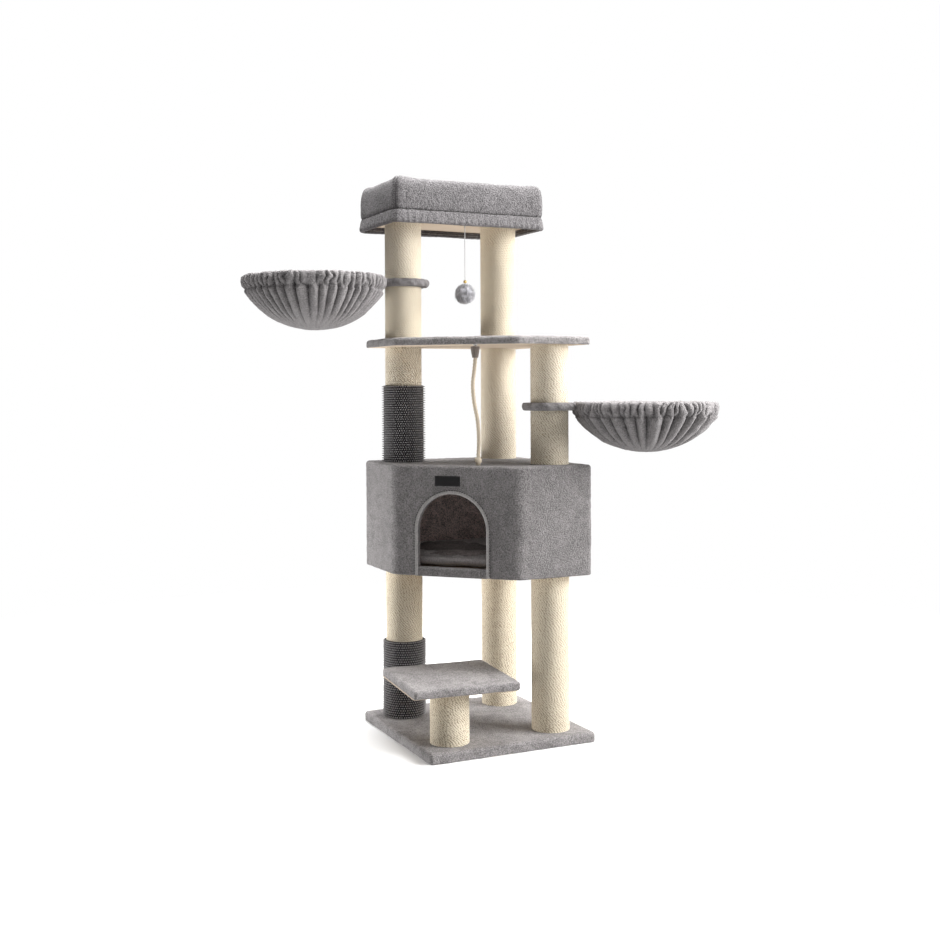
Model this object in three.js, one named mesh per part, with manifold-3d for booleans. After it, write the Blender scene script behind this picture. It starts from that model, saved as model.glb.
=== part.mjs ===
// Free-standing cat tree. Millimetres, +Z up.
// Origin: centre of the base's underside. -Y is the front, where the step post and the right post
// stand. The cave and the platform share one outline, whose front left corner is cut off at 45 degrees.
import * as THREE from 'three';
import { mergeVertices } from 'three/addons/utils/BufferGeometryUtils.js';
import Module from 'manifold-3d';

const wasm = await Module();
wasm.setup();

// ---- driving dimensions -------------------------------------------------------------------------
const GAP = 0.3; // between neighbouring pieces
const PLUSH = 3; // thickness of the plush covering

const POST_RADIUS = 57.5; // over the sisal
const CORE_RADIUS = 51.4;
const SLEEVE_BORE = 52.3;
const CORE_WALL = 4;
const END_DISC = 16; // end disc glued into each cardboard tube
const STUD_HOLE = 4.5;
const AROUND = 24; // facets round a sleeve
const POST_X = 167;
const POST_Y = 172;

const BASE_SIZE = 534;
const BASE_TOP = 30;

const STEP_SIZE = 321;
const STEP_X = -141;
const STEP_Y = -118;
const STEP_TURN = -5; // degrees about the step post
const STEP_BOTTOM = 186;
const STEP_TOP = 212;

const DECK_X = 262.5; // half width of the cave and the platform
const DECK_Y = 260; // half depth
const DECK_CUT = 280; // how far the cut corner runs along each side
const CAVE_BOTTOM = 497;
const CAVE_TOP = 827;
const WALL = 15; // outside of the cover to the inside of the wall board
const LINING = 2;
const FLOOR_TOP = 523.5;
const ROOF_THICK = 22;
const CUSHION_TOP = 560;

const DOOR_WIDTH = 217;
const DOOR_TOP = 743;
const DOOR_SHIFT = -11; // along the cut face
const DOOR_HEM = 10;
const TAG_WIDTH = 80;
const TAG_HEIGHT = 30;
const TAG_SHIFT = -13; // from the doorway's middle
const TAG_Z = 781;

const PLATFORM_BOTTOM = 1185;
const PLATFORM_TOP = 1209.5;

const PERCH_WIDTH = 513;
const PERCH_DEPTH = 304;
const PERCH_BOTTOM = 1578; // underside of its board
const PERCH_BOARD = 18;
const PERCH_TOP = 1699;
const BOLSTER = 57; // thickness of the padded sides
const SKIRT_DROP = 20; // how far the skirt hangs below the board

const GROOMER_HEIGHT = 238;
const GROOMER_RADIUS = 67; // over the bristles
const BRISTLE = 4.5;

const RING_RADIUS = 205; // centre line of the hammock's steel ring
const RING_WIRE = 5;
const RING_REACH = 291; // post axis to ring centre
const EYE_RADIUS = 82; // plush-covered disc clamped in the post
const EYE_THICK = 24;
const BAG_DEPTH = 147;
const LEFT_HAMMOCK_Z = 1386;
const LEFT_HAMMOCK_TURN = 180;
const RIGHT_HAMMOCK_Z = 1000;
const RIGHT_HAMMOCK_TURN = -24;

const ROPE_X = -67;
const ROPE_Y = -144;
const ROPE_RADIUS = 6.2;
const ROPE_END = 848; // where the rope enters its end knot
const KNOT_RADIUS = 11;

const POMPOM_X = -6;
const POMPOM_Y = 55;
const POMPOM_Z = 1350;
const POMPOM_RADIUS = 32.5;
const BEAD_RADIUS = 5.5;
const STRING_RADIUS = 1.5;

// ---- materials ----------------------------------------------------------------------------------
const material = (color, roughness, metalness = 0) =>
  new THREE.MeshStandardMaterial({ color, roughness, metalness });
const plush = () => material(0x9a9698, 0.95);
const darkPlush = () => material(0x5e5659, 0.95);
const sisal = () => material(0xdccdb0, 0.9);
const board = () => material(0xe2d9c8, 0.85);
const cardboard = () => material(0xb59a78, 0.9);
const bristle = () => material(0x3b3a3e, 0.6);
const steel = () => material(0x8f9296, 0.35, 0.9);
const brass = () => material(0xc9a04e, 0.3, 0.9);
const ropeFibre = () => material(0xd6c8b2, 0.9);

// ---- helpers ------------------------------------------------------------------------------------
const tree = new THREE.Group();

function place(name, geometry, look, parent = tree) {
  const mesh = new THREE.Mesh(geometry, look);
  mesh.name = name;
  parent.add(mesh);
  return mesh;
}

function solid(geometry) {
  const bare = geometry.clone();
  bare.deleteAttribute('normal');
  if (bare.getAttribute('uv')) bare.deleteAttribute('uv');
  const merged = mergeVertices(bare, 1e-3);
  return new wasm.Manifold(
    new wasm.Mesh({
      numProp: 3,
      vertProperties: new Float32Array(merged.attributes.position.array),
      triVerts: new Uint32Array(merged.index.array),
    }),
  );
}

function geometryOf(body) {
  const mesh = body.getMesh();
  const geometry = new THREE.BufferGeometry();
  geometry.setAttribute('position', new THREE.BufferAttribute(mesh.vertProperties, 3));
  geometry.setIndex(new THREE.BufferAttribute(mesh.triVerts, 1));
  geometry.computeVertexNormals();
  return geometry;
}

// Points of a convex polygon, counter-clockwise, with each corner rounded by its own radius.
function rounded(corners, steps = 3) {
  const points = [];
  corners.forEach(([x, y, radius], i) => {
    const here = new THREE.Vector2(x, y);
    const before = corners[(i + corners.length - 1) % corners.length];
    const after = corners[(i + 1) % corners.length];
    const back = new THREE.Vector2(before[0], before[1]).sub(here).normalize();
    const ahead = new THREE.Vector2(after[0], after[1]).sub(here).normalize();
    const half = Math.acos(back.dot(ahead)) / 2;
    const centre = back.clone().add(ahead).normalize().multiplyScalar(radius / Math.sin(half));
    centre.add(here);
    const first = here.clone().addScaledVector(back, radius / Math.tan(half)).sub(centre);
    const sweep = Math.PI - 2 * half;
    for (let k = 0; k <= steps; k += 1) {
      const turned = first.clone().rotateAround(new THREE.Vector2(0, 0), (sweep * k) / steps);
      points.push(turned.add(centre));
    }
  });
  return points;
}

function rectangle(width, depth, radius, inset = 0, steps = 3) {
  const x = width / 2 - inset;
  const y = depth / 2 - inset;
  const r = Math.max(radius - inset, 4);
  return rounded([[-x, -y, r], [x, -y, r], [x, y, r], [-x, y, r]], steps);
}

// The outline shared by the cave and the platform, moved inwards by inset.
function deck(inset, foldRadius, cornerRadius) {
  const x = DECK_X - inset;
  const y = DECK_Y - inset;
  const cut = DECK_CUT - DECK_X - DECK_Y + inset * Math.SQRT2;
  const fold = Math.max(foldRadius - inset, 6);
  const corner = Math.max(cornerRadius - inset, 4);
  return rounded([
    [cut + y, -y, fold],
    [x, -y, corner],
    [x, y, corner],
    [-x, y, corner],
    [-x, cut + x, fold],
  ]);
}

function slab(points, bottom, top) {
  const shape = new THREE.Shape(points);
  const geometry = new THREE.ExtrudeGeometry(shape, { depth: top - bottom, bevelEnabled: false });
  return geometry.translate(0, 0, bottom);
}

// A slab whose top and bottom edges are rounded over.
function softSlab(points, bottom, top, edge, segments = 2) {
  const shape = new THREE.Shape(points);
  const geometry = new THREE.ExtrudeGeometry(shape, {
    depth: top - bottom - 2 * edge,
    bevelThickness: edge,
    bevelSize: edge,
    bevelOffset: -edge,
    bevelSegments: segments,
  });
  return geometry.translate(0, 0, bottom + edge);
}

// Sweeps a closed profile of [inset, z] pairs round an outline that is given for every inset.
function sweptRing(outlineAt, profile) {
  const rows = profile.map(([inset, z]) => outlineAt(inset).map((p) => [p.x, p.y, z]));
  const around = rows[0].length;
  const index = [];
  rows.forEach((row, i) => {
    const next = (i + 1) % rows.length;
    for (let j = 0; j < around; j += 1) {
      const k = (j + 1) % around;
      const a = i * around + j;
      const b = i * around + k;
      const c = next * around + k;
      const d = next * around + j;
      index.push(a, b, c, a, c, d);
    }
  });
  const geometry = new THREE.BufferGeometry();
  geometry.setAttribute('position', new THREE.Float32BufferAttribute(rows.flat(2), 3));
  geometry.setIndex(index);
  geometry.computeVertexNormals();
  return geometry;
}

// A turned body about Z. The profile is [radius, z] pairs, upwards along the outside.
function turned(profile, segments) {
  const points = profile.map(([r, z]) => new THREE.Vector2(r, z));
  return new THREE.LatheGeometry(points, segments).rotateX(Math.PI / 2);
}

function tube(inner, outer, bottom, top, segments = 32) {
  return turned(
    [[inner, bottom], [outer, bottom], [outer, top], [inner, top], [inner, bottom]],
    segments,
  );
}

function shell(outer, inner, bottom, top) {
  return solid(slab(outer, bottom, top)).subtract(solid(slab(inner, bottom - 1, top + 1)));
}

// ---- base ---------------------------------------------------------------------------------------
const baseOutline = (inset) => rectangle(BASE_SIZE, BASE_SIZE, 14, inset);
place('base_board', slab(baseOutline(PLUSH + GAP), 0, BASE_TOP - PLUSH - GAP), board());
place(
  'base_cover',
  geometryOf(
    solid(softSlab(baseOutline(0), 0, BASE_TOP, 3)).subtract(
      solid(slab(baseOutline(PLUSH), -5, BASE_TOP - PLUSH)),
    ),
  ),
  plush(),
);

// ---- posts --------------------------------------------------------------------------------------
const halfEye = EYE_THICK / 2;
const sections = [
  ['step', -POST_X, -POST_Y, BASE_TOP, STEP_BOTTOM],
  ['left_low', -POST_X, POST_Y, BASE_TOP, CAVE_BOTTOM],
  ['back_low', POST_X, POST_Y, BASE_TOP, CAVE_BOTTOM],
  ['right_low', POST_X, -POST_Y, BASE_TOP, CAVE_BOTTOM],
  ['left_mid', -POST_X, POST_Y, CAVE_TOP, PLATFORM_BOTTOM],
  ['back_mid', POST_X, POST_Y, CAVE_TOP, PLATFORM_BOTTOM],
  ['right_mid_a', POST_X, -POST_Y, CAVE_TOP, RIGHT_HAMMOCK_Z - halfEye],
  ['right_mid_b', POST_X, -POST_Y, RIGHT_HAMMOCK_Z + halfEye, PLATFORM_BOTTOM],
  ['left_top_a', -POST_X, POST_Y, PLATFORM_TOP, LEFT_HAMMOCK_Z - halfEye],
  ['left_top_b', -POST_X, POST_Y, LEFT_HAMMOCK_Z + halfEye, PERCH_BOTTOM],
  ['back_top', POST_X, POST_Y, PLATFORM_TOP, PERCH_BOTTOM],
];

// A cardboard tube with an end disc at each end, and a stud hole through both discs.
function coreGeometry(height) {
  const bore = CORE_RADIUS - CORE_WALL;
  return turned(
    [
      [STUD_HOLE, 0],
      [CORE_RADIUS, 0],
      [CORE_RADIUS, height],
      [STUD_HOLE, height],
      [STUD_HOLE, height - END_DISC],
      [bore, height - END_DISC],
      [bore, END_DISC],
      [STUD_HOLE, END_DISC],
      [STUD_HOLE, 0],
    ],
    16,
  );
}

sections.forEach(([name, x, y, bottom, top]) => {
  const post = new THREE.Group();
  post.position.set(x, y, bottom + GAP);
  const height = top - bottom - GAP;
  place(`post_${name}_core`, coreGeometry(height), cardboard(), post);
  place(`post_${name}_sisal`, tube(SLEEVE_BORE, POST_RADIUS, 0, height, AROUND), sisal(), post);
  tree.add(post);
});

// Bristle mats wrapped round the left post: a sleeve with ridges all round.
function groomerGeometry() {
  const ridges = 30;
  const outline = [];
  for (let i = 0; i < ridges; i += 1) {
    const step = (2 * Math.PI) / ridges;
    const valley = GROOMER_RADIUS - BRISTLE;
    outline.push(new THREE.Vector2(GROOMER_RADIUS, 0).rotateAround(new THREE.Vector2(), i * step));
    outline.push(new THREE.Vector2(valley, 0).rotateAround(new THREE.Vector2(), (i + 0.5) * step));
  }
  const shape = new THREE.Shape(outline);
  const hole = new THREE.Path();
  hole.absarc(0, 0, POST_RADIUS + 1, 0, 2 * Math.PI, true);
  shape.holes.push(hole);
  return new THREE.ExtrudeGeometry(shape, {
    depth: GROOMER_HEIGHT,
    bevelEnabled: false,
    curveSegments: 14,
  });
}

[['low', BASE_TOP], ['mid', CAVE_TOP]].forEach(([name, bottom]) => {
  const mesh = place(`groomer_${name}`, groomerGeometry(), bristle());
  mesh.position.set(-POST_X, POST_Y, bottom + GAP);
});

// ---- step ---------------------------------------------------------------------------------------
const step = new THREE.Group();
step.position.set(STEP_X, STEP_Y, 0);
step.rotation.z = THREE.MathUtils.degToRad(STEP_TURN);
tree.add(step);
const stepOutline = (inset) => rectangle(STEP_SIZE, STEP_SIZE, 12, inset);
place(
  'step_board',
  slab(stepOutline(PLUSH + GAP), STEP_BOTTOM + GAP, STEP_TOP - PLUSH - GAP),
  board(),
  step,
);
place(
  'step_cover',
  geometryOf(
    solid(softSlab(stepOutline(0), STEP_BOTTOM + GAP, STEP_TOP, 3)).subtract(
      solid(slab(stepOutline(PLUSH), STEP_BOTTOM - 5, STEP_TOP - PLUSH)),
    ),
  ),
  plush(),
  step,
);

// ---- cave ---------------------------------------------------------------------------------------
const FOLD = 46; // outer radius of the two soft folds beside the cut face
const CORNER = 14;
const caveOutline = (inset) => deck(inset, FOLD, CORNER);
const wallBottom = CAVE_BOTTOM + GAP;
const wallTop = CAVE_TOP - PLUSH - GAP;
const inside = WALL + GAP + LINING; // outside of the cover to the inside of the lining

// The frame of the cut face: x along the face to the right, y up, z outwards.
const cutMiddle = DECK_CUT / 2;
const faceFrame = new THREE.Matrix4().makeBasis(
  new THREE.Vector3(Math.SQRT1_2, -Math.SQRT1_2, 0),
  new THREE.Vector3(0, 0, 1),
  new THREE.Vector3(-Math.SQRT1_2, -Math.SQRT1_2, 0),
);
faceFrame.setPosition(
  cutMiddle - DECK_X + DOOR_SHIFT * Math.SQRT1_2,
  cutMiddle - DECK_Y - DOOR_SHIFT * Math.SQRT1_2,
  0,
);
const onFace = (geometry) => geometry.applyMatrix4(faceFrame);

// An arch with a round head, open downwards past the wall's bottom edge, as points.
function arch(grow, bottom) {
  const r = DOOR_WIDTH / 2 + grow;
  const spring = DOOR_TOP - DOOR_WIDTH / 2;
  const points = [new THREE.Vector2(-r, bottom), new THREE.Vector2(r, bottom)];
  const steps = 16;
  for (let i = 0; i <= steps; i += 1) {
    const angle = (Math.PI * i) / steps;
    points.push(new THREE.Vector2(r * Math.cos(angle), spring + r * Math.sin(angle)));
  }
  return points;
}

// The arch as a solid that runs from depth "from" to depth "to" along the face's outward axis.
function archBlock(grow, from, to, bottom = CAVE_BOTTOM - 20) {
  const geometry = new THREE.ExtrudeGeometry(new THREE.Shape(arch(grow, bottom)), {
    depth: to - from,
    bevelEnabled: false,
  });
  return solid(onFace(geometry.translate(0, 0, from)));
}

place(
  'cave_wall_board',
  geometryOf(
    shell(caveOutline(PLUSH + GAP), caveOutline(WALL), wallBottom, wallTop).subtract(
      archBlock(LINING + 2 * GAP, -40, 20),
    ),
  ),
  board(),
);
const outerSkin = shell(caveOutline(0), caveOutline(PLUSH), wallBottom, wallTop);
const innerSkin = shell(caveOutline(WALL + GAP), caveOutline(inside), wallBottom, wallTop);
const jamb = shell(caveOutline(0), caveOutline(inside), wallBottom, wallTop).intersect(
  archBlock(LINING, -40, 20),
);
place(
  'cave_wall_cover',
  geometryOf(outerSkin.add(innerSkin).add(jamb).subtract(archBlock(0, -40, 20))),
  plush(),
);

place(
  'cave_floor_board',
  slab(caveOutline(inside + GAP), wallBottom, FLOOR_TOP - PLUSH - 1 - GAP),
  board(),
);
// The floor's plush turns down over a sill that fills the bottom of the doorway.
const sill = shell(caveOutline(0.5), caveOutline(inside + 1), wallBottom, FLOOR_TOP).intersect(
  archBlock(-GAP, -40, 20),
);
const carpet = solid(slab(caveOutline(inside + GAP), FLOOR_TOP - PLUSH - 1, FLOOR_TOP));
const lip = solid(slab(caveOutline(inside + 0.1), wallBottom - 1, FLOOR_TOP - PLUSH - 1));
place('cave_floor_cover', geometryOf(sill.subtract(lip).add(carpet)), plush());

place(
  'cave_roof_board',
  slab(caveOutline(inside + GAP), wallTop - ROOF_THICK, wallTop),
  board(),
);
place('cave_roof_cover', softSlab(caveOutline(0), CAVE_TOP - PLUSH, CAVE_TOP, 1.4, 1), plush());
place(
  'cave_cushion',
  softSlab(deck(inside + 5, 80, 50), FLOOR_TOP + GAP, CUSHION_TOP, 13, 2),
  darkPlush(),
);

place(
  'door_hem',
  geometryOf(
    archBlock(DOOR_HEM, GAP, GAP + 2, wallBottom).subtract(archBlock(1, -5, 20)),
  ),
  plush(),
);
place(
  'blank_tag',
  onFace(
    new THREE.BoxGeometry(TAG_WIDTH, TAG_HEIGHT, 1.5).translate(TAG_SHIFT, TAG_Z, GAP + 0.75),
  ),
  material(0x2b2a2c, 0.8),
);

// ---- platform -----------------------------------------------------------------------------------
const platformOutline = (inset) => deck(inset, 24, 16);
place(
  'platform_board',
  slab(platformOutline(PLUSH + GAP), PLATFORM_BOTTOM + GAP, PLATFORM_TOP - PLUSH - GAP),
  board(),
);
place(
  'platform_cover',
  geometryOf(
    solid(softSlab(platformOutline(0), PLATFORM_BOTTOM + GAP, PLATFORM_TOP, 3)).subtract(
      solid(slab(platformOutline(PLUSH), PLATFORM_BOTTOM - 5, PLATFORM_TOP - PLUSH)),
    ),
  ),
  plush(),
);

// ---- perch --------------------------------------------------------------------------------------
const perch = new THREE.Group();
perch.position.set(0, POST_Y, 0);
tree.add(perch);
const perchOutline = (inset) => rectangle(PERCH_WIDTH, PERCH_DEPTH, 24, inset);
const boardTop = PERCH_BOTTOM + PERCH_BOARD;
const seam = boardTop + 4;
const hem = PERCH_BOTTOM - SKIRT_DROP;
place('perch_board', slab(perchOutline(6), PERCH_BOTTOM + GAP, boardTop), board(), perch);
place(
  'perch_skirt',
  sweptRing(perchOutline, [
    [1, seam],
    [5.5, seam],
    [5.5, PERCH_BOTTOM - 4],
    [10, hem + 8],
    [8, hem + 1],
    [1, hem],
    [-5, hem + 4],
    [-6, hem + 13],
    [-3, hem + 26],
  ]),
  plush(),
  perch,
);
place(
  'perch_bolster',
  sweptRing(perchOutline, [
    [6, boardTop + GAP],
    [6, seam + GAP],
    [1, seam + GAP],
    [0, seam + 14],
    [0, PERCH_TOP - 28],
    [7, PERCH_TOP - 10],
    [20, PERCH_TOP - 1.5],
    [34, PERCH_TOP],
    [48, PERCH_TOP - 7],
    [BOLSTER, PERCH_TOP - 26],
    [BOLSTER, boardTop + GAP],
  ]),
  plush(),
  perch,
);
const padInset = 2 * BOLSTER + 1.2;
const padOutline = rectangle(PERCH_WIDTH - padInset, PERCH_DEPTH - padInset, 16);
place('perch_pad', softSlab(padOutline, boardTop + GAP, boardTop + 24, 9, 2), plush(), perch);

// ---- hammocks -----------------------------------------------------------------------------------
// Steel ring, flat arm and eye plate, as one welded frame. The eye is on the local origin.
function hammockFrame() {
  const ring = new THREE.TorusGeometry(RING_RADIUS, RING_WIRE, 6, 32).translate(RING_REACH, 0, 0);
  const arm = new THREE.BoxGeometry(56, 44, 5).translate(RING_REACH - RING_RADIUS - 28, 0, 0);
  const plate = tube(6, 46, -2.5, 2.5, 18);
  return solid(ring).add(solid(arm)).add(solid(plate));
}

// Gathered fabric bag: a bowl with a thick scalloped hem that encloses the ring.
function hammockBag() {
  const d = BAG_DEPTH;
  const r = RING_RADIUS;
  const profile = [
    [0, -d],
    [0.32 * r, -0.94 * d],
    [0.64 * r, -0.77 * d],
    [0.87 * r, -0.48 * d],
    [0.99 * r, -0.22 * d],
    [r + 13, -5],
    [r + 10, 10],
    [r, 15],
    [r - 11, 9],
    [r - 12, -12],
    [0.945 * r, -0.22 * d],
    [0.84 * r, -0.45 * d],
    [0.58 * r, -0.755 * d],
    [0, -0.965 * d],
  ];
  const folds = 44;
  const bowl = turned(profile, folds);
  const spot = bowl.getAttribute('position');
  for (let i = 0; i < spot.count; i += 1) {
    const x = spot.getX(i);
    const y = spot.getY(i);
    const radius = Math.hypot(x, y);
    if (radius < 0.5 * r) continue;
    const turn = Math.round(((Math.atan2(y, x) + 2 * Math.PI) / (2 * Math.PI)) * folds);
    const change = turn % 2 === 0 ? 0 : -3;
    spot.setXY(i, (x * (radius + change)) / radius, (y * (radius + change)) / radius);
  }
  bowl.translate(RING_REACH, 0, 0);
  const wire = new THREE.TorusGeometry(r, RING_WIRE + 0.6, 6, 32).translate(RING_REACH, 0, 0);
  const slot = new THREE.BoxGeometry(60, 45, 6).translate(RING_REACH - r - 28, 0, 0);
  return solid(bowl).subtract(solid(wire).add(solid(slot)));
}

// Plush-covered disc round the eye plate, cut back where the bag's hem passes.
function hammockEye() {
  const disc = turned(
    [
      [0, -halfEye + GAP],
      [EYE_RADIUS - 6, -halfEye + GAP],
      [EYE_RADIUS, -halfEye + 6],
      [EYE_RADIUS, halfEye - 6],
      [EYE_RADIUS - 6, halfEye],
      [0, halfEye],
    ],
    24,
  );
  const armSpace = new THREE.BoxGeometry(80, 45, 6).translate(50, 0, 0);
  const hole = turned([[0, -20], [5, -20], [5, 20], [0, 20]], 12);
  const ringSpace = turned([[0, -20], [221, -20], [221, 20], [0, 20]], 48);
  ringSpace.translate(RING_REACH, 0, 0);
  const plateSpace = turned([[0, -3], [46.5, -3], [46.5, 3], [0, 3]], 18);
  return solid(disc)
    .subtract(solid(plateSpace))
    .subtract(solid(armSpace))
    .subtract(solid(hole))
    .subtract(solid(ringSpace));
}

[
  ['left', -POST_X, POST_Y, LEFT_HAMMOCK_Z, LEFT_HAMMOCK_TURN],
  ['right', POST_X, -POST_Y, RIGHT_HAMMOCK_Z, RIGHT_HAMMOCK_TURN],
].forEach(([side, x, y, z, turn]) => {
  const hammock = new THREE.Group();
  hammock.position.set(x, y, z);
  hammock.rotation.z = THREE.MathUtils.degToRad(turn);
  place(`hammock_${side}_frame`, geometryOf(hammockFrame()), steel(), hammock);
  place(`hammock_${side}_eye_cover`, geometryOf(hammockEye()), plush(), hammock);
  place(`hammock_${side}_bag`, geometryOf(hammockBag()), plush(), hammock);
  tree.add(hammock);
});

// ---- hanging toys -------------------------------------------------------------------------------
const LOOP = 4.8; // centre-line radius of the eye and of the ring linked through it
const LOOP_WIRE = 1.2;
const EYE_DROP = 6.6; // ceiling to the eye's centre
const RING_DROP = EYE_DROP + LOOP + LOOP - 2 * LOOP_WIRE - GAP; // ceiling to the ring's centre

// A screw eye's plate and loop below a ceiling, with a ring linked through the loop.
function hanger(name, x, y, ceiling) {
  const plate = turned([[0, -1.5], [8, -1.5], [8, 0], [0, 0]], 12);
  const neck = turned([[0, -3], [1.6, -3], [1.6, -1], [0, -1]], 6);
  const eye = new THREE.TorusGeometry(LOOP, LOOP_WIRE, 5, 12).rotateX(Math.PI / 2);
  eye.translate(0, 0, -EYE_DROP);
  const fixed = solid(plate).add(solid(neck)).add(solid(eye));
  place(`${name}_eye`, geometryOf(fixed), steel()).position.set(x, y, ceiling);
  const ring = new THREE.TorusGeometry(LOOP, LOOP_WIRE, 5, 12).rotateY(Math.PI / 2);
  place(`${name}_ring`, ring, steel()).position.set(x, y, ceiling - RING_DROP);
  return ceiling - RING_DROP - LOOP - LOOP_WIRE - GAP;
}

const ropeTop = hanger('rope', ROPE_X, ROPE_Y, PLATFORM_BOTTOM);
// The rope hangs in a slight S whose weight stays under the eye.
const ropeCurve = new THREE.CatmullRomCurve3([
  new THREE.Vector3(0, 0, ropeTop),
  new THREE.Vector3(0, 0, ropeTop - 22),
  new THREE.Vector3(-3, 0, ropeTop - 55),
  new THREE.Vector3(-8, 0, ropeTop - 100),
  new THREE.Vector3(-4, 0, ropeTop - 150),
  new THREE.Vector3(7, 0, ropeTop - 205),
  new THREE.Vector3(11, 0, ropeTop - 260),
  new THREE.Vector3(9, 0, ROPE_END),
]);
const ropeSection = new THREE.Shape();
ropeSection.absarc(0, 0, ROPE_RADIUS, 0, 2 * Math.PI, false);
const ropeGeometry = new THREE.ExtrudeGeometry(ropeSection, {
  steps: 16,
  extrudePath: ropeCurve,
  curveSegments: 5,
});
place('rope', ropeGeometry, ropeFibre()).position.set(ROPE_X, ROPE_Y, 0);
place(
  'rope_cap',
  turned(
    [
      [7.2, PLATFORM_BOTTOM - 39],
      [9, PLATFORM_BOTTOM - 39],
      [12, PLATFORM_BOTTOM - 22],
      [14, PLATFORM_BOTTOM - 6],
      [11.5, PLATFORM_BOTTOM - 6],
      [10, PLATFORM_BOTTOM - 22],
      [7.2, PLATFORM_BOTTOM - 39],
    ],
    20,
  ),
  material(0x8f8378, 0.95),
).position.set(ROPE_X, ROPE_Y, 0);
place(
  'rope_knot',
  turned(
    [
      [0, -13],
      [7, -12],
      [KNOT_RADIUS - 1, -6],
      [KNOT_RADIUS, 0],
      [KNOT_RADIUS - 2, 5],
      [7.4, 7],
      [6.8, 7],
      [6.8, -0.4],
      [0, -0.4],
    ],
    16,
  ),
  ropeFibre(),
).position.set(ROPE_X + 9, ROPE_Y, ROPE_END);

const stringTop = hanger('pompom', POMPOM_X, POMPOM_Y, PERCH_BOTTOM);
const ballTop = POMPOM_Z + POMPOM_RADIUS;
const beadZ = ballTop + BEAD_RADIUS + GAP;
const pompom = new THREE.Group();
pompom.position.set(POMPOM_X, POMPOM_Y, 0);
tree.add(pompom);
place(
  'pompom_string',
  turned(
    [
      [0, beadZ + BEAD_RADIUS + GAP],
      [STRING_RADIUS, beadZ + BEAD_RADIUS + GAP],
      [STRING_RADIUS, stringTop],
      [0, stringTop],
    ],
    8,
  ),
  material(0xe6e2dc, 0.9),
  pompom,
);
const bead = place('pompom_bead', new THREE.SphereGeometry(BEAD_RADIUS, 12, 8), brass(), pompom);
bead.position.z = beadZ;
const ball = place(
  'pompom_ball',
  new THREE.SphereGeometry(POMPOM_RADIUS, 18, 10).rotateX(Math.PI / 2),
  plush(),
  pompom,
);
ball.position.z = POMPOM_Z;

export default tree;
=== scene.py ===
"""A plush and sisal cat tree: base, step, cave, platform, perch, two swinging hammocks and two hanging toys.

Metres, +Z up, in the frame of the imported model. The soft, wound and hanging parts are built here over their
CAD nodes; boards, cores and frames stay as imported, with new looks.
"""

import math

import bpy
import numpy as np
from mathutils import Matrix, Vector


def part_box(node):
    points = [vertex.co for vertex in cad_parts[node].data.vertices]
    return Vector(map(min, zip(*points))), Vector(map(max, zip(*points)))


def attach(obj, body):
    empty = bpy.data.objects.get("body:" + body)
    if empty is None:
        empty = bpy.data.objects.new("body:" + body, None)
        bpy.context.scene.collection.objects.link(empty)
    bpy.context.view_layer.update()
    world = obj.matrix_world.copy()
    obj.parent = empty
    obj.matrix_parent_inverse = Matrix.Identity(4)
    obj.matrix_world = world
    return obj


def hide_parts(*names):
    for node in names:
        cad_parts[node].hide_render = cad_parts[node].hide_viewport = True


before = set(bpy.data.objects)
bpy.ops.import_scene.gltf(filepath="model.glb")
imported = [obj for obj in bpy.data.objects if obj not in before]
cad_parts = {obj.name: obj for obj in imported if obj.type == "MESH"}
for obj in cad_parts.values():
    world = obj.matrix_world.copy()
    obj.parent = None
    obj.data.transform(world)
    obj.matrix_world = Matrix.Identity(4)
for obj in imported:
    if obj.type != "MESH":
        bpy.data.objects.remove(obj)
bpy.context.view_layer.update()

MM = 0.001
TAU = 2 * math.pi
RANDOM_SEED = 7

# ---- camera -------------------------------------------------------------------------------------
CAMERA_PLACE = (-1.6304, -3.4211, 1.0558)
CAMERA_YAW = 0.44082
CAMERA_PITCH = -0.00216
CAMERA_ROLL = -0.0039


def make_camera():
    data = bpy.data.cameras.new("camera")
    data.sensor_width = 36
    data.lens = 47.07
    data.shift_y = -0.0841
    data.clip_end = 100
    camera = bpy.data.objects.new("camera", data)
    bpy.context.scene.collection.objects.link(camera)
    level = math.cos(CAMERA_PITCH)
    ahead = Vector((math.sin(CAMERA_YAW) * level, math.cos(CAMERA_YAW) * level, math.sin(CAMERA_PITCH)))
    right = Vector((math.cos(CAMERA_YAW), -math.sin(CAMERA_YAW), 0))
    up = right.cross(ahead)
    turn, rise = math.cos(CAMERA_ROLL), math.sin(CAMERA_ROLL)
    right, up = turn * right + rise * up, turn * up - rise * right
    rows = Matrix((right, up, -ahead)).transposed()
    camera.matrix_world = Matrix.Translation(CAMERA_PLACE) @ rows.to_4x4()
    bpy.context.scene.camera = camera


make_camera()


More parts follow.
